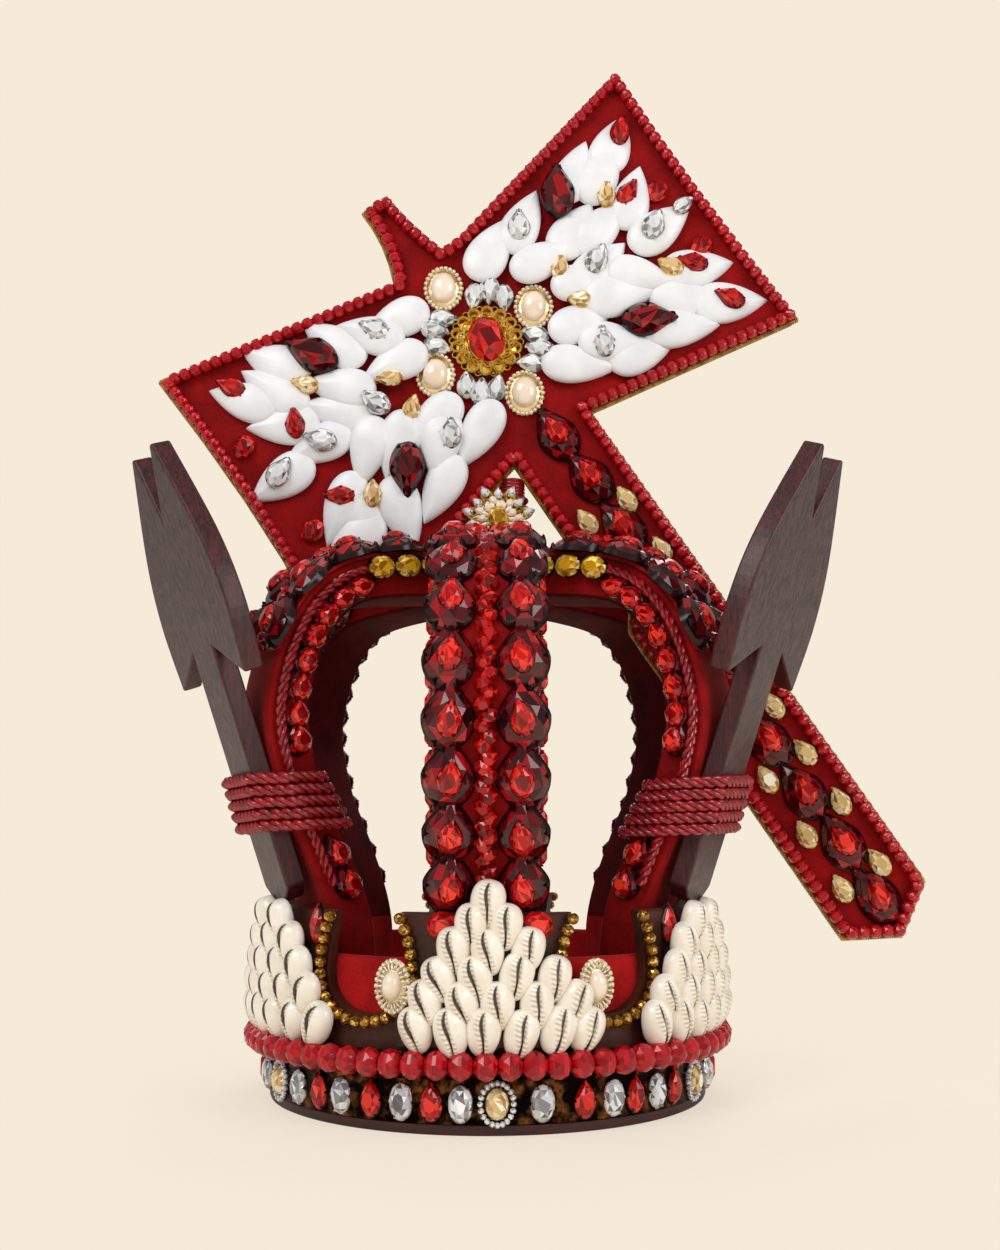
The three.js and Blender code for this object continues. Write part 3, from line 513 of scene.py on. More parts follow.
def ropeMesh(path, radius, pitch, up, sides=6, closed=False):
    # strands laid round the path, one turn to a pitch; up is the direction that stays up
    count, strands, share = len(path), ropeShape["strands"], ropeShape["strandShare"]
    travelled = [0.0]
    for first, second in zip(path, path[1:]):
        travelled.append(travelled[-1] + (second - first).length)
    turns = max(1, round(travelled[-1] / pitch)) if closed else travelled[-1] / pitch
    vertices, faces = [], []
    for strand in range(strands):
        base = len(vertices)
        for i, point in enumerate(path):
            before = path[(i - 1) % count] if closed or i else path[0]
            after = path[(i + 1) % count] if closed or i < count - 1 else path[-1]
            forward = (after - before).normalized()
            side = forward.cross(up).normalized()
            top = side.cross(forward).normalized()
            angle = (strand / strands - travelled[i] / travelled[-1] * turns) * 2 * pi
            out = side * cos(angle) + top * sin(angle)
            sideways = forward.cross(out)
            for k in range(sides):
                turn = k / sides * 2 * pi
                rim = (out * cos(turn) + sideways * sin(turn)) * radius * share
                vertices.append(point + out * radius * (1 - share) + rim)
        for i in range(count - (0 if closed else 1)):
            here, there = base + i * sides, base + (i + 1) % count * sides
            faces += [(here + k, there + k, there + (k + 1) % sides, here + (k + 1) % sides) for k in range(sides)]
        if not closed:
            faces.append(tuple(base + k for k in range(sides)))
            faces.append(tuple(base + (count - 1) * sides + k for k in reversed(range(sides))))
    mesh = bpy.data.meshes.new("rope")
    mesh.from_pydata(vertices, [], faces)
    return mesh


def finishPiece(piece, slotName, nodes, finish, smoothUnder=None, parts=None):
    # moves the mesh to the frame and hides the parts of the nodes the piece stands for; parts picks a finish for each
    # face
    mesh = piece.data
    mesh.name = piece.name
    mesh.transform(toFrame)
    mesh.materials.clear()
    for name in finish if parts else [finish]:
        mesh.materials.append(finishes[name])
    if parts:
        mesh.polygons.foreach_set("material_index", parts)
    if smoothUnder is not None:
        for polygon in mesh.polygons:
            polygon.use_smooth = True
        mesh.set_sharp_from_angle(angle=radians(smoothUnder))
    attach(piece, "root")
    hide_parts(*nodes)


def plainMesh(piece):
    # the evaluated mesh takes the place of the modifiers
    mesh = bpy.data.meshes.new_from_object(piece.evaluated_get(bpy.context.evaluated_depsgraph_get()))
    piece.modifiers.clear()
    old, piece.data = piece.data, mesh
    bpy.data.meshes.remove(old)
    return piece


def settingTree():
    # one tree sets a stone, bead or shell at every point, with the point's own turn and size
    tree = bpy.data.node_groups.new("setAtPoints", "GeometryNodeTree")
    for name, way, kind in (("Geometry", "INPUT", "Geometry"), ("Shape", "INPUT", "Object"),
                            ("Finish", "INPUT", "Material"), ("Whole size", "INPUT", "Float"),
                            ("Geometry", "OUTPUT", "Geometry")):
        tree.interface.new_socket(name, in_out=way, socket_type="NodeSocket" + kind)
    nodes = Nodes(tree)
    start = nodes.node("NodeGroupInput").outputs
    shape = nodes.node("GeometryNodeObjectInfo", None, Object=start["Shape"], As_Instance=False)
    turn, size = (nodes.node("GeometryNodeInputNamedAttribute", {"data_type": "FLOAT_VECTOR"}, Name=name).outputs[0]
                  for name in ("turn", "size"))
    scaled = nodes.node("ShaderNodeVectorMath", {"operation": "SCALE"}, i0=size, Scale=start["Whole size"])
    place = nodes.node("GeometryNodeInstanceOnPoints", None, Points=start[0], Instance=shape.outputs["Geometry"],
                       Rotation=nodes.node("FunctionNodeEulerToRotation", None, i0=turn).outputs[0],
                       Scale=scaled.outputs[0])
    real = nodes.node("GeometryNodeRealizeInstances", None, i0=place.outputs[0])
    paint = nodes.node("GeometryNodeSetMaterial", None, i0=real.outputs[0], Material=start["Finish"])
    nodes.node("NodeGroupOutput", None, i0=paint.outputs[0])
    return tree


placeTree = settingTree()


def setShapes(name, shape, finish, places, slotName, nodes, smoothUnder=None):
    # a point for every place, and the tree above sets the shape there
    mesh = bpy.data.meshes.new(name)
    mesh.from_pydata([place.translation for place in places], [], [])
    turns, sizes = [], []
    for place in places:
        _, turn, size = place.decompose()
        turns.extend(turn.to_euler())
        sizes.extend(size)
    for key, values in (("turn", turns), ("size", sizes)):
        mesh.attributes.new(key, "FLOAT_VECTOR", "POINT").data.foreach_set("vector", values)
    piece, holder = newPiece(name, mesh), newPiece(name + "Shape", shapes[shape])
    modifier = piece.modifiers.new("set", "NODES")
    modifier.node_group = placeTree
    keys = {item.name: item.identifier for item in placeTree.interface.items_tree if item.in_out == "INPUT"}
    modifier[keys["Shape"]] = holder
    modifier[keys["Finish"]] = finishes[finish]
    modifier[keys["Whole size"]] = 1.0
    plainMesh(piece)
    bpy.data.objects.remove(holder)
    finishPiece(piece, slotName, nodes, finish, smoothUnder)


# the cut of stones, beads and settings, each of unit half width
stoneCut = [(0.5, 1.0, 1, 0.0), (0.8, 0.72, 1, 0.5), (1.0, 0.36, 2, 0.0), (1.0, 0.24, 2, 0.0), (0.75, 0, 1, 0.0)]
beadCut = [(0.45, 0.66, 0.0), (0.86, 0.42, 0.5), (1.0, 0.1, 0.0)]
cupShape = {"profile": [(0.82, 0.0), (1.08, 0.0), (1.07, 0.28), (0.99, 0.4), (0.9, 0.2)], "prongs": 6, "drop": 0.3}
cupSlots = {"mount": "dark_lacquer", "darkGem": "dark_red_stones"}  # other settings are gold_metal


def circlePoints(radius, height, count, offset):
    angles = [(i + offset) / count * 2 * pi for i in range(count)]
    return [Vector((radius * cos(angle), radius * sin(angle), height)) for angle in angles]


def drawnOut(x, y, taper):
    # draws the +Y end of a round shape to a point
    share = max(0.0, y)
    return x * (1 - taper * share ** 1.4), y * (1 + taper * 0.25 * share)


def cutStone(name, taper=0.0, sides=8):
    # a brilliant cut, its table up
    points = [point for radius, height, times, offset in stoneCut
              for point in circlePoints(radius, height, sides * times, offset)]
    mesh = hull(name, points)
    for vertex in mesh.vertices:
        vertex.co.x, vertex.co.y = drawnOut(vertex.co.x, vertex.co.y, taper)
    return mesh


def cutBead(name, sides):
    # a faceted rondelle strung along X
    return hull(name, [Vector((side * along, p.x, p.y)) for side in (-1, 1) for radius, along, offset in beadCut
                       for p in circlePoints(radius, 0, sides, offset)])


def cupMesh(taper=0.0):
    # a low setting with prongs that fold over the stone
    profile = cupShape["profile"]

    def place(row, column):
        radius, height = profile[round(column * len(profile)) % len(profile)]
        angle = row * 2 * pi
        grip = max(0.0, cos(cupShape["prongs"] * angle)) ** 6 if height > 0.1 else 0.0
        x, y = drawnOut(radius * cos(angle), radius * sin(angle), taper)
        return Vector((x * (1 - 0.06 * grip), y, height + 0.34 * grip))
    return gridMesh(48, len(profile), place, closedAlong=True)


def domeMesh():
    # a smooth cabochon on the XY plane
    def place(row, column):
        angle, turn = row * pi / 2, column * 2 * pi
        return Vector((cos(angle) * cos(turn), cos(angle) * sin(turn), sin(angle)))
    return gridMesh(8, 28, place)


def loopMesh(wire):
    # a little closed wire loop
    def place(row, column):
        turn, angle = row * 2 * pi, column * 2 * pi
        reach = 1 + wire * cos(angle)
        return Vector((reach * cos(turn), reach * sin(turn), wire * sin(angle)))
    return gridMesh(20, 6, place, closedAlong=True)


def cowrieMesh():
    # egg-shaped shell, its long toothed slit facing +Z and its narrow end down
    def place(row, column):
        along = row * pi
        wide = sin(along) ** 0.72 * (1 - 0.12 * cos(along))
        offset = column - 0.5
        angle = pi / 2 + copysign(abs(2 * offset) ** 1.5, offset) * pi
        x, z = wide * cos(angle), wide * sin(angle)
        inSlit = exp(-(offset / 0.045) ** 2) * sin(along) ** 0.5
        lip = exp(-((abs(offset) - 0.1) / 0.05) ** 2) * 0.06 * sin(along)
        bend = 0.1 * cos(along * 0.9)
        return Vector((x + bend * max(0, z), -cos(along), max(z, -0.42) - 0.2 * inSlit + lip))
    return gridMesh(26, 34, place, charted=True)


def petalMesh():
    # a domed drop with a sharp tip at +Y and a soft keel
    def place(row, column):
        angle = column * 2 * pi
        reach = sin(row * pi / 2)
        x, y = sin(angle) * abs(sin(angle / 2)) ** 0.9, cos(angle)
        up = cos(row * pi / 2) ** 0.8
        keel = 0.12 * exp(-(x * reach / 0.25) ** 2) * reach * (1 - reach)
        return Vector((x * reach, -0.12 + (y + 0.12) * reach, up + keel))
    return gridMesh(9, 40, place)


shapes = {
    "oval": cutStone("ovalStone"),
    "pear": cutStone("pearStone", 0.55),
    "point": cutStone("pointStone", 0.8, 6),
    "chip": cutStone("chipStone", 0.3, 5),
    "bead": cutBead("cutBead", 9),
    "tinyBead": cutBead("tinyBead", 6),
    "cup": cupMesh(),
    "pearCup": cupMesh(0.55),
    "dome": domeMesh(),
    "scroll": loopMesh(1.5 * 0.24),
    "leaf": loopMesh(1.3 * 0.24),
    "cowrie": cowrieMesh(),
    "petal": petalMesh(),
}


def stoneSet(name, shape, finish, stones, nodes, cup=None, slotName="dark_red_stones"):
    # stones is a list of (place, size); each may stand in its own setting, of the finish that cup names
    setShapes(name, shape, finish, [place @ grown(*size) for place, size in stones], slotName, nodes)
    if cup:
        cups = [raised(place, -cupShape["drop"]) @ grown(*size) for place, size in stones]
        setShapes(name + "Cups", "cup" if shape == "oval" else "pearCup", cup, cups,
                  cupSlots.get(cup, "gold_metal"), nodes, 40)


def ovalBeads(place, halfWidth, halfLength, count, radius, length=None):
    # small beads strung round an oval that lies on the place's XY plane
    beads = []
    for i in range(count):
        angle = i / count * 2 * pi
        heading = degrees(atan2(halfLength * cos(angle), -halfWidth * sin(angle)))
        spot = place @ shift(halfWidth * cos(angle), halfLength * sin(angle), 0)
        beads.append(spot @ turned(heading) @ grown(length or radius * 1.3, radius, radius))
    return beads


# rim, band, bead ring, crest wall and liner
rimShape = {"outer": 99.0, "inner": 90.5, "height": 4.4, "round": 1.4, "edge": 0.4}
bandShape = {"outer": 100.0, "inner": 93.0, "bottom": 4.6, "top": 31.0, "edge": 0.5, "stoneHeight": 12.4,
             "ridge": [(0, 21), (0.8, 21.6), (0, 22.4)]}
bandStones = {
    "Framed": ("oval", "paleAmberGem", "paleGold", (9.0, 11.6, 4.4), [2.5, 60.5, -60.5, 120, 180, -120]),
    "Clear": ("oval", "clearGem", "silver", (9.6, 13.8, 3.7), [
        -5.6, -19.3, -35.4, -50.7, 12.7, 30.3, 43.7, 72.7, -72.7, 88, -88, 104, -104, 136, -136, 152, -152, 168, -168]),
    "Red": ("pear", "brightGem", "mount", (9.4, 13.6, 3.7), [
        -12.2, -26.8, -42.3, 22.7, 36.4, 50.1, 80.5, -80.5, 96, -96, 112, -112, 128, -128, 144, -144, 160, -160,
        172.5]),
}
bandFrame = {"halfWidth": 6.5, "halfLength": 7.8, "count": 20, "radius": 1.2}
beadRing = {"beads": 70, "centreRadius": 106.0, "height": 27.3, "size": (7.1, 5.6, 5.6)}
crestShape = {"outer": 98.0, "inner": 93.2, "bottom": 30.5, "top": 84.5}
scallop = {"halfWidth": 19.5, "mouth": 14.0, "bottom": 44.0, "widest": 59.0, "steps": 18}
edging = {"offset": 3.0, "radius": 100.6, "pitch": 4.9, "below": 2.4, "size": (3.3, 2.55, 2.55)}
lobeStones = {"sectors": (0, 2, 3, 4), "angles": (-9.8, 11.6), "height": 79.3, "spin": 8, "size": (13.4, 11.5, 4.8)}
marquises = {"angles": (-45.4, -74, 50.8, 72), "height": 77.5, "size": (8.2, 15.5, 4.2)}
linerShape = {"outer": 93.0, "inner": 87.0, "bottom": 5.0, "top": 66.0}


def makeBase():
    r, b = rimShape, bandShape
    soft, edge = r["round"], r["edge"]
    profile = [(r["inner"], 0), (r["outer"] - soft, 0), (r["outer"] - soft * 0.3, soft * 0.3), (r["outer"], soft),
               (r["outer"], r["height"] - edge), (r["outer"] - edge, r["height"]), (r["inner"], r["height"])]
    finishPiece(newPiece("lacqueredRim", ringMesh(profile)), "dark_lacquer", ["base_rim"], "lacquer", 30)
    profile = [(b["inner"], b["bottom"]), (b["outer"], b["bottom"])]
    profile += [(b["outer"] + out, up) for out, up in b["ridge"]]
    profile += [(b["outer"], b["top"] - b["edge"]), (b["outer"] - b["edge"], b["top"]), (b["inner"], b["top"])]
    finishPiece(newPiece("foilBand", ringMesh(profile)), "jewelled_leather", ["stone_band"], "copperFoil", 30)
    frames, f = [], bandFrame
    for kind, (shape, finish, cup, size, angles) in bandStones.items():
        places = [frontPlace(angle, b["outer"] - 0.2, b["stoneHeight"]) for angle in angles]
        stones = [(place, sized(*size)) for place in places]
        stoneSet("band" + kind + "Stones", shape, finish, stones, ["stone_band"], cup, "jewelled_leather")
        if kind == "Framed":
            for place in places:
                frames += ovalBeads(raised(place, 1.2), f["halfWidth"], f["halfLength"], f["count"], f["radius"])
    setShapes("bandFrameBeads", "tinyBead", "clearGem", frames, "pearl", ["stone_band"])
    ring = beadRing
    beads = [frontPlace(i / ring["beads"] * 360, ring["centreRadius"], ring["height"]) @ grown(*ring["size"])
             for i in range(ring["beads"])]
    setShapes("beadRingBeads", "bead", "redBead", beads, "red_beads", ["bead_ring"])


def horseshoe(offset, top):
    # the opening's outline seen from the front, from one side of its mouth to the other
    s, steps, side = scallop, scallop["steps"], []
    half, mouth, depth = s["halfWidth"] + offset, s["mouth"] + offset, s["widest"] - s["bottom"] + offset
    middle = (s["widest"] + crestShape["top"]) / 2
    for i in range(steps + 1):
        w = i / steps
        x = (1 - w) ** 2 * mouth + 2 * w * (1 - w) * half + w * w * half
        z = (1 - w) ** 2 * top + 2 * w * (1 - w) * middle + w * w * s["widest"]
        side.append((x, z))
    bowl = [(half * cos(i / steps * pi), s["widest"] - depth * sin(i / steps * pi)) for i in range(1, steps)]
    return [(-x, z) for x, z in side] + [(-x, z) for x, z in bowl] + [(x, z) for x, z in reversed(side)]


def makeCrest():
    c, e, lobes = crestShape, edging, lobeStones
    inner, outer, top = c["inner"], c["outer"], c["top"]
    profile = [(inner, c["bottom"]), (outer, c["bottom"]), (outer, top - 1), (outer - 1, top), (inner + 1, top),
               (inner, top - 1)]
    wall = newPiece("crestLeather", ringMesh(profile, 240))
    cutters = []
    for i in range(6):
        cutter = extruded("horseshoeCutter", [(x, -70, z) for x, z in horseshoe(0, top + 8)], (0, -50, 0))
        cutter.data.transform(turned(30 + sectorAngle * i))
        wall.modifiers.new("cut", "BOOLEAN").object = cutter
        cutters.append(cutter)
    plainMesh(wall)
    for cutter in cutters:
        bpy.data.objects.remove(cutter)
    finishPiece(wall, "jewelled_leather", ["crest_wall"], "leather", 30)
    stones = [(frontPlace(sectorAngle * i + angle, outer - 0.2, lobes["height"], 0, copysign(lobes["spin"], angle)),
               sized(*lobes["size"])) for i in lobes["sectors"] for angle in lobes["angles"]]
    stoneSet("lobeStones", "oval", "brightGem", stones, ["crest_wall"])
    stones = [(frontPlace(angle, outer - 0.2, marquises["height"]), sized(*marquises["size"]))
              for angle in marquises["angles"]]
    stoneSet("lobeMarquises", "point", "brightGem", stones, ["crest_wall"], "mount")
    inner, outer, low, high = (linerShape[key] for key in ("inner", "outer", "bottom", "top"))
    profile = [(inner, low), (outer, low), (outer, high - 2), (outer - 0.9, high - 0.5), (outer - 2.2, high),
               (inner + 2.2, high), (inner + 0.6, high - 0.8), (inner, high - 2.4)]
    finishPiece(newPiece("velvetLining", ringMesh(profile)), "red_velvet", ["velvet_liner"], "linerVelvet", 50)
    path = [onRing(e["radius"], x / c["outer"], z) for x, z in horseshoe(e["offset"], top - e["below"])]
    spots = evenly(path, round(lineLength(path) / e["pitch"]) + 1)
    beads = []
    for k, spot in enumerate(spots):
        along = spots[min(k + 1, len(spots) - 1)] - spots[max(k - 1, 0)]
        beads.append(shift(*spot) @ along.to_track_quat("X", "Z").to_matrix().to_4x4() @ grown(*e["size"]))
    for i in range(6):
        places = [turned(30 + sectorAngle * i) @ bead for bead in beads]
        setShapes("goldEdging" + str(i + 1), "bead", "goldBead", places, "gold_beads", ["bead_edging_" + str(i + 1)])


makeBase()
makeCrest()
say("base, band and crest")


# cowrie shells and pearl brooches; a row is its first azimuth, the step, the number of shells and the height
cowrieShape = {"size": (6.8, 9.5, 6.2), "radius": 104.6, "lean": 13.0, "follow": 1.15}
cowrieRows = [(-18.8, 7.5, 6, 39.5), (-15.6, 7.8, 5, 50.0), (-12.1, 8.1, 4, 60.0), (-8.2, 8.2, 3, 70.0),
              (-3.9, 7.8, 2, 79.2), (0.0, 0.0, 1, 88.0)]
frontDrift = [3.8, 2.9, 2.1, 0.8, 0.4, 0.4]  # degrees, the front panel's rows lie to the right of its middle
padShape = {"inner": 98.1, "outer": 102.6, "low": 33.5, "high": 84, "halfLow": 36, "halfHigh": 9}
wallPearls = {"width": 16.0, "length": 21.5, "radius": 101.2, "height": 56.0, "left": -21.0, "right": 25.2}


def padMesh():
    # a pad that follows the round wall, its sides leaning in as it rises
    p = padShape
    corners = [(p["outer"], 0), (p["outer"], 0.5), (p["outer"], 1), (p["inner"], 1), (p["inner"], 0)]

    def place(row, column):
        radius, up = corners[round(row * len(corners)) % len(corners)]
        half = p["halfLow"] + (p["halfHigh"] - p["halfLow"]) * up
        return onRing(radius, half / p["outer"] * (column * 2 - 1), p["low"] + (p["high"] - p["low"]) * up)
    return gridMesh(len(corners), 24, place, closedAlong=True, closedAcross=False)


def makeCowries():
    c = cowrieShape
    for number, sector in enumerate(sectors):
        chance = Random(40 + number)
        node, shells = ["cowrie_panel_" + sector], []
        rows = cowrieRows[:-1] if sector in axeSectors else cowrieRows
        for level, (start, step, count, height) in enumerate(rows):
            for i in range(count):
                azimuth = start + step * i + chance.uniform(-0.5, 0.5) + (frontDrift[level] if sector == "front" else 0)
                lean = c["lean"] + chance.uniform(-4, 4)
                spin = -azimuth * c["follow"] + chance.uniform(-9, 9)
                width, length, thick = c["size"]
                grow = chance.uniform(0.95, 1.04)
                radius = c["radius"] + 0.4 * (5 - level) / 5
                place = frontPlace(azimuth, radius, height + chance.uniform(-0.7, 0.7), lean, spin)
                shells.append(turned(sectorAngle * number) @ place @ grown(width * grow, length * grow, thick))
        setShapes("cowries_" + sector, "cowrie", "shell", shells, "cowrie_shell", node, 70)
        pad = padMesh()
        pad.transform(turned(sectorAngle * number))
        finishPiece(newPiece("cowriePad_" + sector, pad), "jewelled_leather", node, "leather", 30)


def framedPearls(name, places, width, length, nodes, share=0.31, rays=False):
    # oval pearls, each in a gold frame edged with bright little stones, and with fluted rays on the wall
    def lay(suffix, shape, finish, lift, size, slotName, smoothUnder=None):
        raisedPlaces = [raised(place, lift) @ grown(*size) for place in places]
        setShapes(name + suffix, shape, finish, raisedPlaces, slotName, nodes, smoothUnder)

    def string(suffix, lift, *oval):
        beads = [bead for place in places for bead in ovalBeads(raised(place, lift), *oval)]
        setShapes(name + suffix, "tinyBead", "creamGem", beads, "gold_metal", nodes)
    lay("", "dome", "pearl", 2.4, (width * share, length * (share + 0.02), 4.2), "pearl", 60)
    lay("Frames", "cup", "paleGold", 0, (width * 0.43, length * 0.44, 3.0), "gold_metal", 40)
    lay("Backs", "oval", "paleGold", -0.4, (width * 0.42, length * 0.43, 3.0), "gold_metal")
    string("Beads", 1.6, width * 0.44, length * 0.45, 26, 1.15)
    if rays:
        string("Rays", 1.3, width * 0.34, length * 0.36, 24, 1.9, 0.85)


makeCowries()
for sideName in ("left", "right"):
    spot = frontPlace(wallPearls[sideName], wallPearls["radius"], wallPearls["height"])
    framedPearls("wallPearl_" + sideName, [spot], wallPearls["width"], wallPearls["length"],
                 ["pearl_brooch_" + sideName], 0.25, True)
say("cowries and wall pearls")


# arches with their stones and cords; archPoints are (radius, height) on the outer face
archShape = {"width": 34.0, "thickness": 19.0, "round": 2.4, "hubRadius": 29.8, "shoulder": 133, "faceRadius": 110.2}
archPoints = [(84.3, 52), (84.3, 70), (89.6, 88), (99.6, 110), (110.2, 133), (117.4, 170), (106, 211), (79.5, 236),
              (29.74, 244)]
jewelStrip = {"start": 86.0, "tiedStart": 186.0, "endRadius": 44.0, "rows": 9, "offset": 14.6,
              "width": 37.0, "height": 1.8,
              "stone": (20.5, 7.0), "topStone": (9.8, 13.4, 4.0), "chipPitch": 3.9}
edgeCord = {"side": 19.5, "depth": 5.0, "radius": 2.3, "start": 92.0, "endRadius": 46.0, "pitch": 13.5}
sideStones = {"depth": 11.5, "pitch": 13.4, "start": 84.0, "endRadius": 35.0, "yellows": 3, "yellowDepth": 5.4,
              "dark": (11.4, 14.2, 4.8), "red": (8.4, 10.8, 3.8), "yellow": (10.4, 12.8, 4.2)}
underArch = {"centre": (40, 140), "facing": -0.5}  # faces turned this far towards the arch's middle get the darker shadeVelvet, painted shade
archLine = smoothPath([Vector((radius, height, 0)) for radius, height in archPoints], 321)


def archAt(share):
    # point on the arch's outer face, its direction along and its outward direction, as (radius, height)
    place = share * (len(archLine) - 1)
    i = min(int(place), len(archLine) - 2)
    along = (archLine[min(i + 2, len(archLine) - 1)] - archLine[max(i - 1, 0)]).normalized()
    return archLine[i].lerp(archLine[i + 1], place - i), along, Vector((along.y, -along.x, 0))


def shareWhere(height=archShape["shoulder"], radius=1000):
    # the first share of the arch over a height and inside a radius
    points = ((i / 600, archAt(i / 600)[0]) for i in range(601))
    return next(share for share, point in points if point.y > height and point.x < radius)


def archSpot(share, across, lift):
    # a point by its share of the arch, its distance to the side and its height over the outer face
    point, _, out = archAt(share)
    moved = point + out * lift
    return Vector((across, -moved.x, moved.y))


def archPlace(share, across, lift, spin=0.0, lean=0.0, side=0):
    # lies on the arch's outer face, or on a side face, its top along the arch
    _, along, out = archAt(share)
    alongDir = Vector((0, -along.x, along.y))
    outDir = Vector((side, 0, 0)) if side else Vector((0, -out.x, out.y))
    basis = Matrix((alongDir.cross(outDir), alongDir, outDir)).transposed().to_4x4()
    return Matrix.Translation(archSpot(share, across, lift)) @ basis @ turned(lean, "X") @ turned(spin)


def archMesh():
    half, thick, bend = archShape["width"] / 2, archShape["thickness"], archShape["round"]
    section = []
    for cornerX, cornerD, start in ((1, 0, 0), (1, 1, 1), (-1, 1, 2), (-1, 0, 3)):
        for k in range(5):
            angle = pi / 2 * (1 - start - k / 4)
            centreD = -bend if cornerD == 0 else -(thick - bend)
            section.append((cornerX * (half - bend) + bend * cos(angle), centreD + bend * sin(angle)))

    def place(row, column):
        spot = archSpot(row, *section[round(column * len(section)) % len(section)])
        spot.y = min(spot.y, -archShape["hubRadius"])
        return spot
    return gridMesh(90, len(section), place)


def stripMesh(first, last):
    half, low, high = jewelStrip["width"] / 2, 0.1, jewelStrip["height"]
    corners = [(-half, low), (-half, high * 0.7), (-half + 1, high), (0, high), (half - 1, high),
               (half, high * 0.7), (half, low)]

    def place(row, column):
        return archSpot(first + (last - first) * row, *corners[round(column * 7) % 7])
    return gridMesh(60, 7, place)


def makeStrip(sector, turn, chance):
    # two columns of big stones with bright ones on top, and a ridge of chips between them
    j, node, archLength = jewelStrip, ["jewel_strip_" + sector], lineLength(archLine)
    last = shareWhere(radius=j["endRadius"])
    rowShare = (last - shareWhere(j["start"])) / j["rows"]
    tied = sector in axeSectors
    first = shareWhere(j["tiedStart"] if tied else j["start"])
    while tied and (last - first) / rowShare % 1 > 0.02 and first < 1:
        first += 0.001
    backing = stripMesh(first, last)
    backing.transform(turn)
    finishPiece(newPiece("jewelBacking_" + sector, backing), "red_velvet", node, "velvet", 40)
    width, height = j["stone"]
    big, small, chips = [], [], []
    for row in range(round((last - first) / rowShare)):
        for side in (-1, 1):
            place = turn @ archPlace(first + (row + 0.5) * rowShare, side * j["offset"], 1.6, side * 4)
            big.append((place, sized(width, rowShare * archLength * 1.07, height)))
            over = raised(place, 6.3) @ shift(-side * 0.6, chance.uniform(-1, 1), 0)
            small.append((over @ turned(side * chance.uniform(0, 12)), sized(*j["topStone"])))
    stoneSet("bigStones_" + sector, "pear", "darkGem", big, node, "mount")
    stoneSet("topStones_" + sector, "pear", "brightGem", small, node, "darkGem")
    chipCount = int((last - first) * archLength / j["chipPitch"])
    for i in range(chipCount):
        side = -1 if i % 2 else 1
        share = first + (i + 0.5) / chipCount * (last - first)
        place = turn @ archPlace(share, side * 1.1, 2.0, side * 24 + chance.uniform(-12, 12), chance.uniform(10, 22))
        chips.append((place, sized(chance.uniform(7, 8.6), chance.uniform(6.4, 8), chance.uniform(3.8, 5))))
    stoneSet("ridgeChips_" + sector, "chip", "ridgeGem", chips, node)


def makeSides(sector, turn, chance):
    # the stones and the cord on both sides of an arch; the axe's tie covers some of them
    s, node, e = sideStones, ["arch_" + sector], edgeCord
    half = archShape["width"] / 2
    darks, reds, yellows = [], [], []
    first, last = shareWhere(s["start"]), shareWhere(radius=s["endRadius"])
    count = int((last - first) * lineLength(archLine) / s["pitch"])
    for i in range(count):
        share = first + (i + 0.5) / count * (last - first)
        point = archAt(share)[0]
        if sector in axeSectors and 110 < point.y < 146 and point.x > 95:
            continue
        for side in (-1, 1):
            spin = chance.uniform(-8, 8)
            if i >= count - s["yellows"]:
                place = turn @ archPlace(share, side * half, -s["yellowDepth"], spin, side=side)
                yellows.append((raised(place, 3.6), sized(*s["yellow"])))
                continue
            place = turn @ archPlace(share, side * half, -s["depth"], spin, side=side)
            darks.append((place, sized(*s["dark"])))
            reds.append((raised(place, 4.0) @ shift(side * 0.8, -0.6, 0), sized(*s["red"])))
    stoneSet("sideDarks_" + sector, "pear", "darkGem", darks, node, "mount")
    stoneSet("sideStones_" + sector, "pear", "brightGem", reds, node, "darkGem")
    stoneSet("sideYellows_" + sector, "oval", "amberGem", yellows, node, "mount")
    first, last = shareWhere(e["start"]), shareWhere(radius=e["endRadius"])
    for side, sideName in ((-1, "left"), (1, "right")):
        path = [archSpot(first + (last - first) * i / 320, side * e["side"], -e["depth"]) for i in range(321)]
        rope = ropeMesh(path, e["radius"], e["pitch"], Vector((1, 0, 0)))
        rope.transform(turn)
        name = sector + "_" + sideName
        finishPiece(newPiece("edgeRope_" + name, rope), "red_cord", ["edge_cord_" + name], "cord", 60)


def makeArches():
    velvetShape, under = archMesh(), []
    radius, height = underArch["centre"]
    for polygon in velvetShape.polygons:
        away = Vector((0, polygon.center.y + radius, polygon.center.z - height)).normalized()
        under.append(1 if polygon.normal.dot(away) < underArch["facing"] else 0)
    for number, sector in enumerate(sectors):
        chance, turn = Random(70 + number), turned(sectorAngle * number)
        body = velvetShape.copy()
        body.transform(turn)
        piece = newPiece("archVelvet_" + sector, body)
        # the faces turned under the arch get shadeVelvet, painted shade
        finishPiece(piece, "red_velvet", ["arch_" + sector], ("velvet", "shadeVelvet"), 40, under)
        makeStrip(sector, turn, chance)
        makeSides(sector, turn, chance)


# the hub, the post that carries the plate, and two rings of stones as (count, first angle, radius, height, lean, spin)
hubProfile = [(0, 225.2), (18, 225.2), (29.3, 226.5), (29.3, 244), (27.5, 249), (21, 255), (15, 258), (0, 258.4)]
postShape = {"side": 11.4, "low": 246, "length": 42.2, "radius": 4.4, "threads": 24, "thread": 0.5,
             "woundFrom": 0.76, "wound": 1.6}
hubStones = {"hubDarkStones": ("pear", "darkGem", "mount", (14.5, 18, 6.0), (12, 0, 27.2, 248.5, -42, 0)),
             "hubBrightStones": ("oval", "brightGem", "darkGem", (11, 14, 5.2), (9, 20, 19.5, 256.6, -52, 90))}


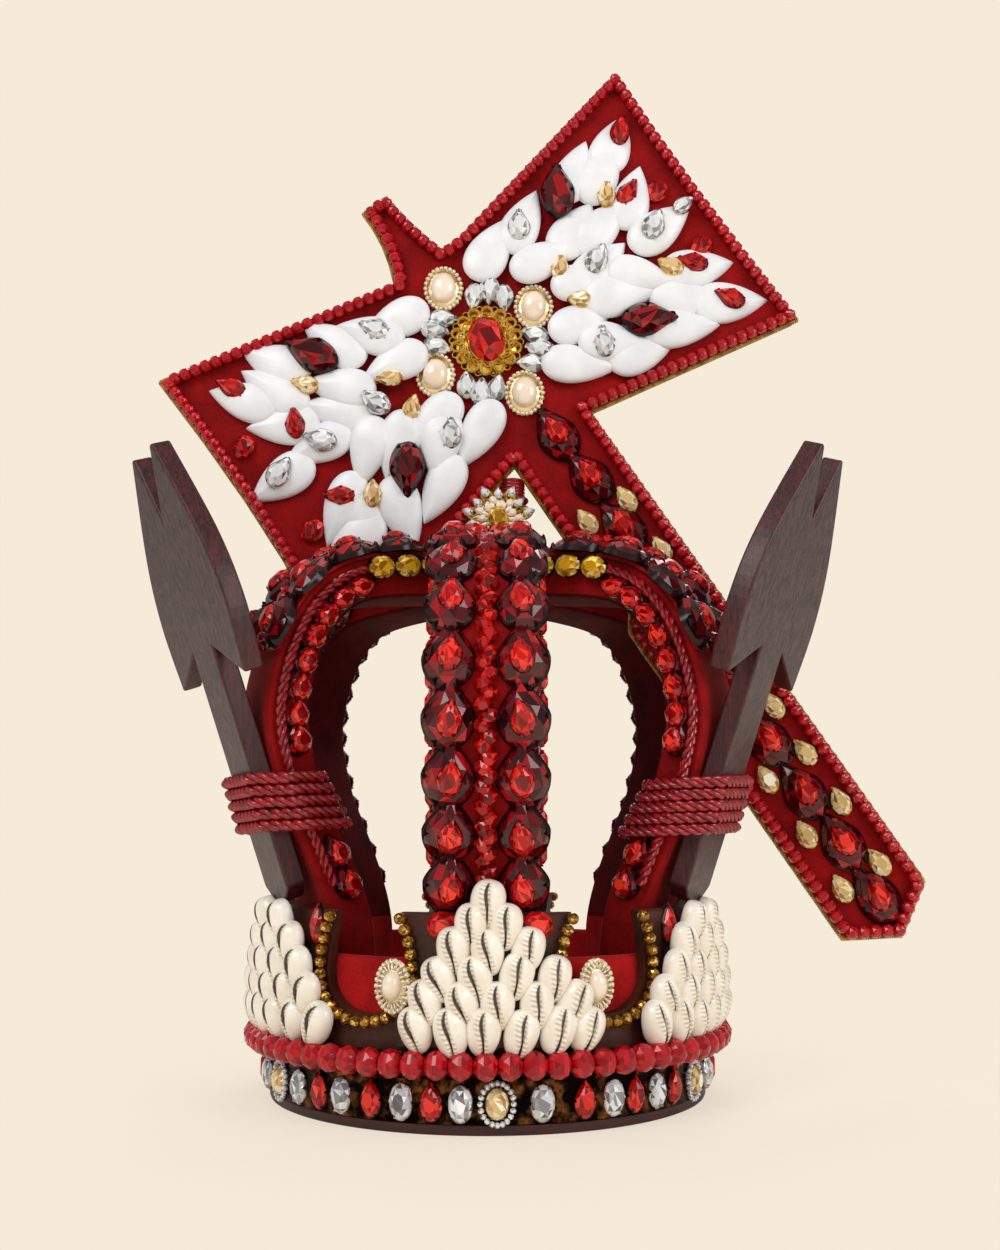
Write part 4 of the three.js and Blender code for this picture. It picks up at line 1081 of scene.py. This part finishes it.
def makeHub():
    last, p = len(hubProfile) - 1, postShape

    def place(row, column):
        radius, height = hubProfile[min(last, round(row * last))]
        return onRing(radius, column * 2 * pi, height)
    finishPiece(newPiece("hubDome", gridMesh(last, 60, place)), "red_velvet", ["top_hub"], "velvet", 40)

    def postPlace(row, column):
        angle = column * 2 * pi
        thread = abs(sin(row * p["threads"] * pi + angle / 2))
        spread = p["radius"] + p["thread"] * thread + (p["wound"] if row > p["woundFrom"] else 0)
        return Vector((p["side"] + spread * cos(angle), spread * sin(angle), p["low"] + p["length"] * row))
    finishPiece(newPiece("hubPost", gridMesh(240, 24, postPlace)), "red_velvet", ["top_hub"], "cord", 60)
    for name, (shape, finish, cup, size, (count, start, *ring)) in hubStones.items():
        stones = [(frontPlace(360 / count * i + start, *ring), sized(*size)) for i in range(count)]
        stoneSet(name, shape, finish, stones, ["top_hub"], cup)


makeArches()
makeHub()
say("arches and hub")


# wooden hand axes and their rope ties
handAxe = {"thickness": 9.0, "lean": 19.8, "handle": 13.5, "handleTop": 114, "notch": 172, "foot": 89.4,
           "bevel": 1.1, "gap": 0.3,
           "blade": [(42, 99), (45, 130), (38, 160), (15, 203)], "tip": (2.4, 0.6)}
tieShape = {"turns": 5, "radius": 2.75, "pitch": 4.9, "centre": 128.0, "clearance": 0.1, "twist": 14.0,
            "dots": 72, "turnSteps": 280}
postBinding = {"radius": 1.7, "reach": 6.5, "pitch": 4, "low": 270, "twist": 6}


def axeOutline():
    h, top = handAxe["handle"], handAxe["handleTop"]
    blade = smoothPath([Vector((x, y, 0)) for x, y in handAxe["blade"]], 26)
    right = [(h / 2, 0), (h, h / 2), (h, top)] + [(p.x, p.y) for p in blade]
    right.append((blade[-1].x - handAxe["tip"][0], blade[-1].y - handAxe["tip"][1]))
    return right + [(0, handAxe["notch"])] + [(-x, y) for x, y in reversed(right)]


def slab(name, outline, low, high, bevel):
    # a flat board between two heights with softened edges
    piece = extruded(name, [(x, y, low) for x, y in outline], (0, 0, high - low))
    modifier = piece.modifiers.new("soften", "BEVEL")
    modifier.width, modifier.segments = bevel, 3
    modifier.limit_method, modifier.angle_limit = "ANGLE", radians(40)
    return plainMesh(piece)


def wrapLine(corners, reach):
    # the tight loop round rounded corners given as (side, distance out, radius), from its middle at the back
    dots, around, loop = set(), tieShape["dots"], []
    for side, away, radius in corners:
        for k in range(around):
            angle = k / around * 2 * pi
            across, out = (radius + reach) * cos(angle), -away + (radius + reach) * sin(angle)
            dots |= {(-side + across, out), (side + across, out)}
    dots = sorted(dots)
    for row in (dots, dots[::-1]):
        edge = []
        for x, y in row:
            while len(edge) > 1 and ((edge[-1][0] - edge[-2][0]) * (y - edge[-2][1])
                                     <= (edge[-1][1] - edge[-2][1]) * (x - edge[-2][0])):
                edge.pop()
            edge.append((x, y))
        loop += [Vector((x, y, 0)) for x, y in edge[:-1]]
    even = evenly(loop + loop[:1], tieShape["turnSteps"] * 5 + 1)[:-1]
    first = max(range(len(even)), key=lambda i: even[i].y - abs(even[i].x) * 0.2)
    return even[first:] + even[:first]


def makeAxes():
    h, t, e = handAxe, tieShape, edgeCord
    lean, thick = radians(h["lean"]), h["thickness"]
    slope, archSlope = tan(lean), tan(radians(30))

    def faceAt(height):
        return archShape["faceRadius"] + (height - archShape["shoulder"]) * slope
    face = faceAt(t["centre"])
    outer, back = face + h["gap"] + thick / cos(lean), face - archShape["thickness"] * 1.12
    bend = archShape["round"]
    loop = wrapLine([(archShape["width"] / 2 - bend, back + bend, bend), (e["side"], face - e["depth"], e["radius"]),
                     (h["handle"] - 1.0, outer - 1.0, 1.0)], t["radius"] + t["clearance"])
    steps, path = t["turns"] * t["turnSteps"], []
    for i in range(steps + 1):
        spot = loop[round(i / steps * t["turns"] * len(loop)) % len(loop)]
        rise = (i / steps - 0.5) * t["turns"] * t["pitch"]
        inward = (spot.y + outer) / (outer - back)
        path.append(Vector((spot.x, spot.y - rise * (slope + (archSlope - slope) * inward), rise + t["centre"])))
    path = evenly(path, steps)
    for azimuth, sideName in ((-sectorAngle, "left"), (sectorAngle, "right")):
        board = slab("woodenAxe_" + sideName, axeOutline(), 0, thick, h["bevel"])
        parts = [0 if abs(polygon.normal.z) > 0.75 else 1 for polygon in board.data.polygons]
        board.data.transform(frontPlace(azimuth, faceAt(h["foot"]) + h["gap"], h["foot"], h["lean"]))
        finishPiece(board, "lacquered_wood", ["hand_axe_" + sideName], ("woodFace", "woodEdge"), None, parts)
        rope = ropeMesh(path, t["radius"], t["twist"], Vector((0, 0, 1)), sides=7)
        rope.transform(turned(azimuth))
        finishPiece(newPiece("tieRope_" + sideName, rope), "red_cord", ["arch_tie_" + sideName], "cord", 60)


def makePostBinding():
    w, path = postBinding, []
    for i in range(361):
        angle = i / 90 * pi + pi / 2
        across, out = w["reach"] * cos(angle), w["reach"] * sin(angle)
        path.append(Vector((postShape["side"] + across, out, w["low"] + angle / (2 * pi) * w["pitch"])))
    rope = ropeMesh(path, w["radius"], w["twist"], Vector((0, 0, 1)))
    finishPiece(newPiece("postRope", rope), "red_cord", ["post_binding"], "cord", 60)


makeAxes()
makePostBinding()
say("hand axes and ties")


# the big double axe, in its own (along, up) millimetres from the brooch; a petal or stone is (u, v, tip angle, own size)
plateShape = {"centre": (-1.25, 358.2), "tilt": 34.0, "headTurn": 3.6, "thickness": 9.0, "bevel": 1.4}
plateOutline = [
    (-1.2, -348), (22.1, -334), (22.1, -58), (136.1, -76.6), (134.9, -34.7), (134.6, 6), (135.3, 45.5), (137, 83.8),
    (20.7, 53.9), (8.7, 53.1), (5.9, 63.1), (3.7, 73.1), (2.1, 83.2), (1.1, 93.3), (-12.8, 92.4), (-12.8, 82.2),
    (-14, 72), (-16.5, 61.7),
    (-20.3, 51.3), (-145.9, 74), (-143.6, 34.1), (-142.6, -2.7), (-143.1, -36.5), (-145.1, -67.2), (-132.7, -75.6),
    (-114.7, -48.8), (-76.1, -74.8), (-23.3, -59.6), (-23.5, -110.3), (-0.3, -126), (-23.7, -160.8), (-24.5, -334)]
goldEdge = {"inset": -0.4, "below": 1.2, "radius": 1.25, "pitch": 3.4, "step": 0.55}
borderBeads = {"inset": 2.6, "pitch": 5.5, "lift": 3.1, "size": (4.15, 3.15, 3.15), "gap": (-112, -62, -78, -44)}
petals = [
    (31, 37, 27), (53, 39, 30), (49, 16.5, -10), (71, 20, 20), (101, 36, 27), (116, 45, 33), (91, 45, 33), (83, 13, 9),
    (105, 16, 37), (106.5, -6, 1), (70, -3, 6), (57, -3.5, -12, 0.86), (82, -20, -48), (67, -22, -29), (93, -43, -38),
    (110, -58, -33), (44, -21, -13), (50, -40, -42), (29, -38, -42), (58, -52, -16), (81, -54, -32), (108, -34, -26),
    (-30, 36, 168), (-44, 38, 127), (-61, 46, 109), (-90, 55, 121), (-44, 18, 170), (-114, 49, 126), (-99, 44, 111),
    (-72, 25, 133), (-80, 16, 131), (-106, 27, 147), (-98, 8, 168), (-123, 5, 178), (-81, -10, -139), (-68, -16, -143),
    (-48, -18, -171), (-51, -29, -135), (-33, -36, -158), (-64, -47, -153), (-108, -25, -149), (-103, -38, -107),
    (-86, -45, -109), (-114, -42, -171)]
petalShape = {"width": (12.6, 14), "length": (18, 20), "height": 4.6, "lean": (-7, -2), "reach": 130,
              "lift": 0.2, "mound": 3.8, "ruffle": 1.8}
headStones = {
    "dark": ("pear", "darkGem", "mount", (16.5, 25, 7.5), 5.2,
             [(76, 40, 55), (70, -41, -35), (-73, 46, 118), (-71, -29, -126)]),
    "red": ("pear", "headGem", "darkGem", (9.6, 14.5, 4.6), 4.6, [
        (122, 47, 45), (104, 18, 22), (110, -57, 118), (107, -31, 130), (-115, 57, 118), (-101, 23, 60),
        (-105, -20, 140)]),
    "velvetRed": ("oval", "headGem", None, (10.5, 12.5, 5), 0.4,
                  [(118, 11, 20), (117, -26, 20), (-128, 30, 30), (-126, -25, 0)]),
    "gold": ("pear", "paleAmberGem", "gold", (9, 12.5, 4.4), 5.0, [
        (95, 24, 50), (52, 7, 48), (50, -12, 140), (97, -26, 118), (-85, 36, 130), (-50, 13, 150), (-51, -6, 38),
        (-92, -29, 52)]),
    "clear": ("pear", "clearGem", "silver", (11, 15, 4.8), 6.4, [
        (49, 37, 52), (103, -4, 30), (69, -1, 28), (45, -37, 60), (121.5, -4.5, 0, 0.72), (-41, 37, 120), (-63, 7, 110),
        (-96, 8, 130), (-122, 7, 20), (-44, -28, 50)]),
}
handleStones = {
    "upper": ([(2.8, -59.5), (3.9, -86.7), (2.9, -116.5)], [(11.8, -105.5), (-10.7, -104.3), (11.3, -136)]),
    "lower": ([(0.8, -180), (0.6, -210), (0.8, -240), (0.5, -269.4), (1.5, -298.3), (0.3, -327.4)], [
        (12.2, -162.3), (-12.4, -166), (12.5, -195), (-12.3, -197), (12, -227.9), (-12, -226), (11.4, -254.5),
        (-11.1, -254.8),
        (11.5, -282.4), (-11, -285.9), (9.8, -315.5), (-11.8, -315.5)]),
}  # the places of the dark drops and of the gold stones
handleSizes = {"drop": (19, 27, 6.2), "pear": (10, 14.4, 4.4), "gold": (9.8, 13.4, 4.4), "left": 0.8}
plateTurn = shift(plateShape["centre"][0], 0, plateShape["centre"][1]) @ turned(-plateShape["tilt"], "Y")
toPlate = plateTurn @ turned(90, "X")
toHead = toPlate @ turned(plateShape["headTurn"])


def platePlace(base, u, v, lift=0.0, spin=0.0, lean=0.0):
    # on the plate's front face, a height over it
    return base @ shift(u, v, plateShape["thickness"] / 2 + lift) @ turned(spin) @ turned(lean, "X")


def insetEvenly(points, distance, pitch):
    # even spots along the outline moved inward
    inset, size = [], len(points)
    for i in range(size):
        before = (points[i] - points[i - 1]).normalized()
        after = (points[(i + 1) % size] - points[i]).normalized()
        normal = Vector((-before.y - after.y, before.x + after.x, 0)).normalized()
        mitre = normal.x * -before.y + normal.y * before.x
        inset.append(points[i] + normal * distance / max(mitre, 0.3))
    loop = inset + [inset[0]]
    return evenly(loop, round(lineLength(loop) / pitch) + 1)[:-1]


def makePlate():
    outline = [Vector((u, v, 0)) for u, v in plateOutline]
    half, g, b = plateShape["thickness"] / 2, goldEdge, borderBeads
    board = slab("plateVelvet", plateOutline, -half, half, plateShape["bevel"])
    board.data.transform(toPlate)
    finishPiece(board, "red_velvet", ["axe_plate"], "velvet", 40)
    path = [spot + Vector((0, 0, half - g["below"])) for spot in insetEvenly(outline, g["inset"], g["step"])]
    cord = ropeMesh(path, g["radius"], g["pitch"], Vector((0, 0, 1)), sides=5, closed=True)
    cord.transform(toPlate)
    finishPiece(newPiece("plateGoldCord", cord), "gold_metal", ["axe_plate"], "goldCord", 60)
    spots, beads = insetEvenly(outline, b["inset"], b["pitch"]), []
    left, right, low, high = b["gap"]  # the petals cross the edge there
    for i, spot in enumerate(spots):
        if left < spot.x < right and low < spot.y < high:
            continue
        along = spots[(i + 1) % len(spots)] - spots[i - 1]
        place = platePlace(toPlate, spot.x, spot.y, b["lift"], degrees(atan2(along.y, along.x)))
        beads.append(place @ Matrix.Rotation(i * 0.7, 4, "X") @ grown(*b["size"]))
    setShapes("plateBorderBeads", "bead", "redBead", beads, "red_beads", ["plate_border"])


def makeSprays(chance):
    p, sides = petalShape, ((1, "right"), (-1, "left"))
    for sign, sideName in sides:
        places = []
        for u, v, tip, *own in (petal for petal in petals if petal[0] * sign > 0):
            lift = p["lift"] + p["mound"] * max(0, 1 - hypot(u, v) / p["reach"]) + chance.uniform(0, p["ruffle"])
            place = platePlace(toHead, u, v, lift, tip - 90, chance.uniform(*p["lean"]))
            share = own[0] if own else 1
            width, length = (chance.uniform(*p[key]) * share for key in ("width", "length"))
            places.append(place @ grown(width, length, p["height"]))
        setShapes("petals_" + sideName, "petal", "petal", places, "white_petals", ["petal_spray_" + sideName], 50)
    for kind, (shape, finish, cup, size, lift, spots) in headStones.items():
        for sign, sideName in sides:
            stones = []
            for u, v, tip, *own in (spot for spot in spots if spot[0] * sign > 0):
                share = own[0] if own else 1
                stones.append((platePlace(toHead, u, v, lift, tip - 90), sized(*(length * share for length in size))))
            stoneSet("head_" + kind + "_" + sideName, shape, finish, stones, ["petal_spray_" + sideName], cup)


def makeHandle(chance):
    def lay(name, finish, spots, lift, size, spin, cup, node):
        stones = [(platePlace(toPlate, u, v, lift, chance.uniform(-spin, spin)), sized(*size)) for u, v in spots]
        stoneSet(name, "pear", finish, stones, node, cup)
    s = handleSizes
    for name, (drops, golds) in handleStones.items():
        node = ["handle_stones_" + name]
        drops = [(u - s["left"], v) for u, v in drops]
        tops = [(u, v + 1) for u, v in drops]
        lay("handleDrops_" + name, "darkGem", drops, 0.4, s["drop"], 8, "mount", node)
        lay("handlePears_" + name, "brightGem", tops, 5.9, s["pear"], 8, "darkGem", node)
        lay("handleGolds_" + name, "paleAmberGem", golds, 0.5, s["gold"], 7, "gold", node)


# brooches; a scroll is (turn in radians, reach, lift, size), a cluster is the angle of three crystals
broochShape = {"stone": (18.5, 23.5, 7.5), "plate": (31, 34, 3.2), "spin": 12, "rays": 14,
               "scrolls": [(0, 14.6, 2.4, (3.1, 2.7, 4.2)), (0.22, 17.0, 1.7, (1.5, 1.5, 3)),
                           (0.1, 12.4, 3.6, (1.5, 2.0, 3))]}
medallion = {"pearls": [(-2.3, 35.4), (29.9, 2.1), (-30.7, -0.1), (0.8, -32.6)], "pearl": (20.5, 24),
             "clusters": [53, 134, 230, 317], "crystal": (10.4, 13.5, 5.4), "spread": 17}
topper = {"place": (4.6, -11.4, 265.4), "rays": 9, "firstRay": -100, "rayStep": 25, "reach": (9.6, 11.8), "petals": 16}


def makeCentre():
    b, m, node = broochShape, medallion, ["centre_brooch"]
    tilt = -plateShape["tilt"]
    centre = platePlace(toPlate, 0, 0, 0.4, tilt + b["spin"])
    stoneSet("broochStone", "oval", "headGem", [(raised(centre, 2.6), sized(*b["stone"]))], node, "gold")
    stoneSet("broochPlate", "oval", "gold", [(centre, sized(*b["plate"]))], node, slotName="gold_metal")
    scrolls, crystals = [], []
    for i in range(b["rays"]):
        for turn, reach, lift, size in b["scrolls"]:
            angle = i / b["rays"] * 2 * pi + turn
            scrolls.append(centre @ Matrix.Rotation(angle, 4, "Z") @ shift(reach, 0, lift) @ grown(*size))
    setShapes("broochScrolls", "scroll", "gold", scrolls, "gold_metal", node, 60)
    framedPearls("platePearl", [platePlace(toPlate, u, v, 0.4, tilt) for u, v in m["pearls"]], *m["pearl"], node)
    for angle in m["clusters"]:
        for spread in (-m["spread"], 0, m["spread"]):
            turn, reach, lift = radians(angle + spread), 25.0 if spread else 27.0, 0.6 if spread else 2.2
            place = platePlace(toPlate, reach * cos(turn), reach * sin(turn), lift, angle + 90 - spread * 0.5)
            crystals.append((place, sized(*m["crystal"])))
    stoneSet("broochCrystals", "pear", "clearGem", crystals, node, "silver")


def makeTopper():
    t, node = topper, ["topper_brooch"]
    base = shift(*t["place"]) @ turned(90, "X")
    leaves, tips, hearts = [], [], []
    for i in range(t["rays"]):
        ray, reach = base @ turned(t["firstRay"] + t["rayStep"] * i), t["reach"][i % 2]
        leaves.append(ray @ shift(0, reach, 0.8) @ grown(2.6, 4.4, 3.4))
        leaves.append(ray @ shift(0, reach + 1.4, 1.8) @ grown(1.5, 2.5, 3))
        tips.append((ray @ shift(0, reach + 3.4, 1.2), sized(4.4, 5.4, 2.8)))
        hearts.append((ray @ shift(1.8, reach - 2.2, 1.6), sized(3.8, 4.4, 2.6)))
    setShapes("topperLeaves", "leaf", "gold", leaves, "gold_metal", node, 60)
    for name, shape, finish, stones, cup in (
            ("topperTips", "point", "clearGem", tips, "gold"), ("topperHearts", "oval", "pearl", hearts, "gold"),
            ("topperStone", "oval", "amberGem", [(raised(base, 3.2), sized(9.5, 11.5, 4.6))], "paleGold"),
            ("topperBack", "oval", "gold", [(base, sized(15, 16, 3.0))], None)):
        stoneSet(name, shape, finish, stones, node, cup, "gold_metal")
    rays = [raised(base, 2.4) @ turned(i / t["petals"] * 360) @ shift(0, 6.9, 0) @ grown(1.15, 2.2, 1.6)
            for i in range(t["petals"])]
    setShapes("topperRays", "dome", "pearl", rays, "pearl", node, 60)


chance = Random(11)
makePlate()
makeSprays(chance)
makeHandle(chance)
makeCentre()
makeTopper()
say("double axe and brooches")

for shape in shapes.values():
    bpy.data.meshes.remove(shape)
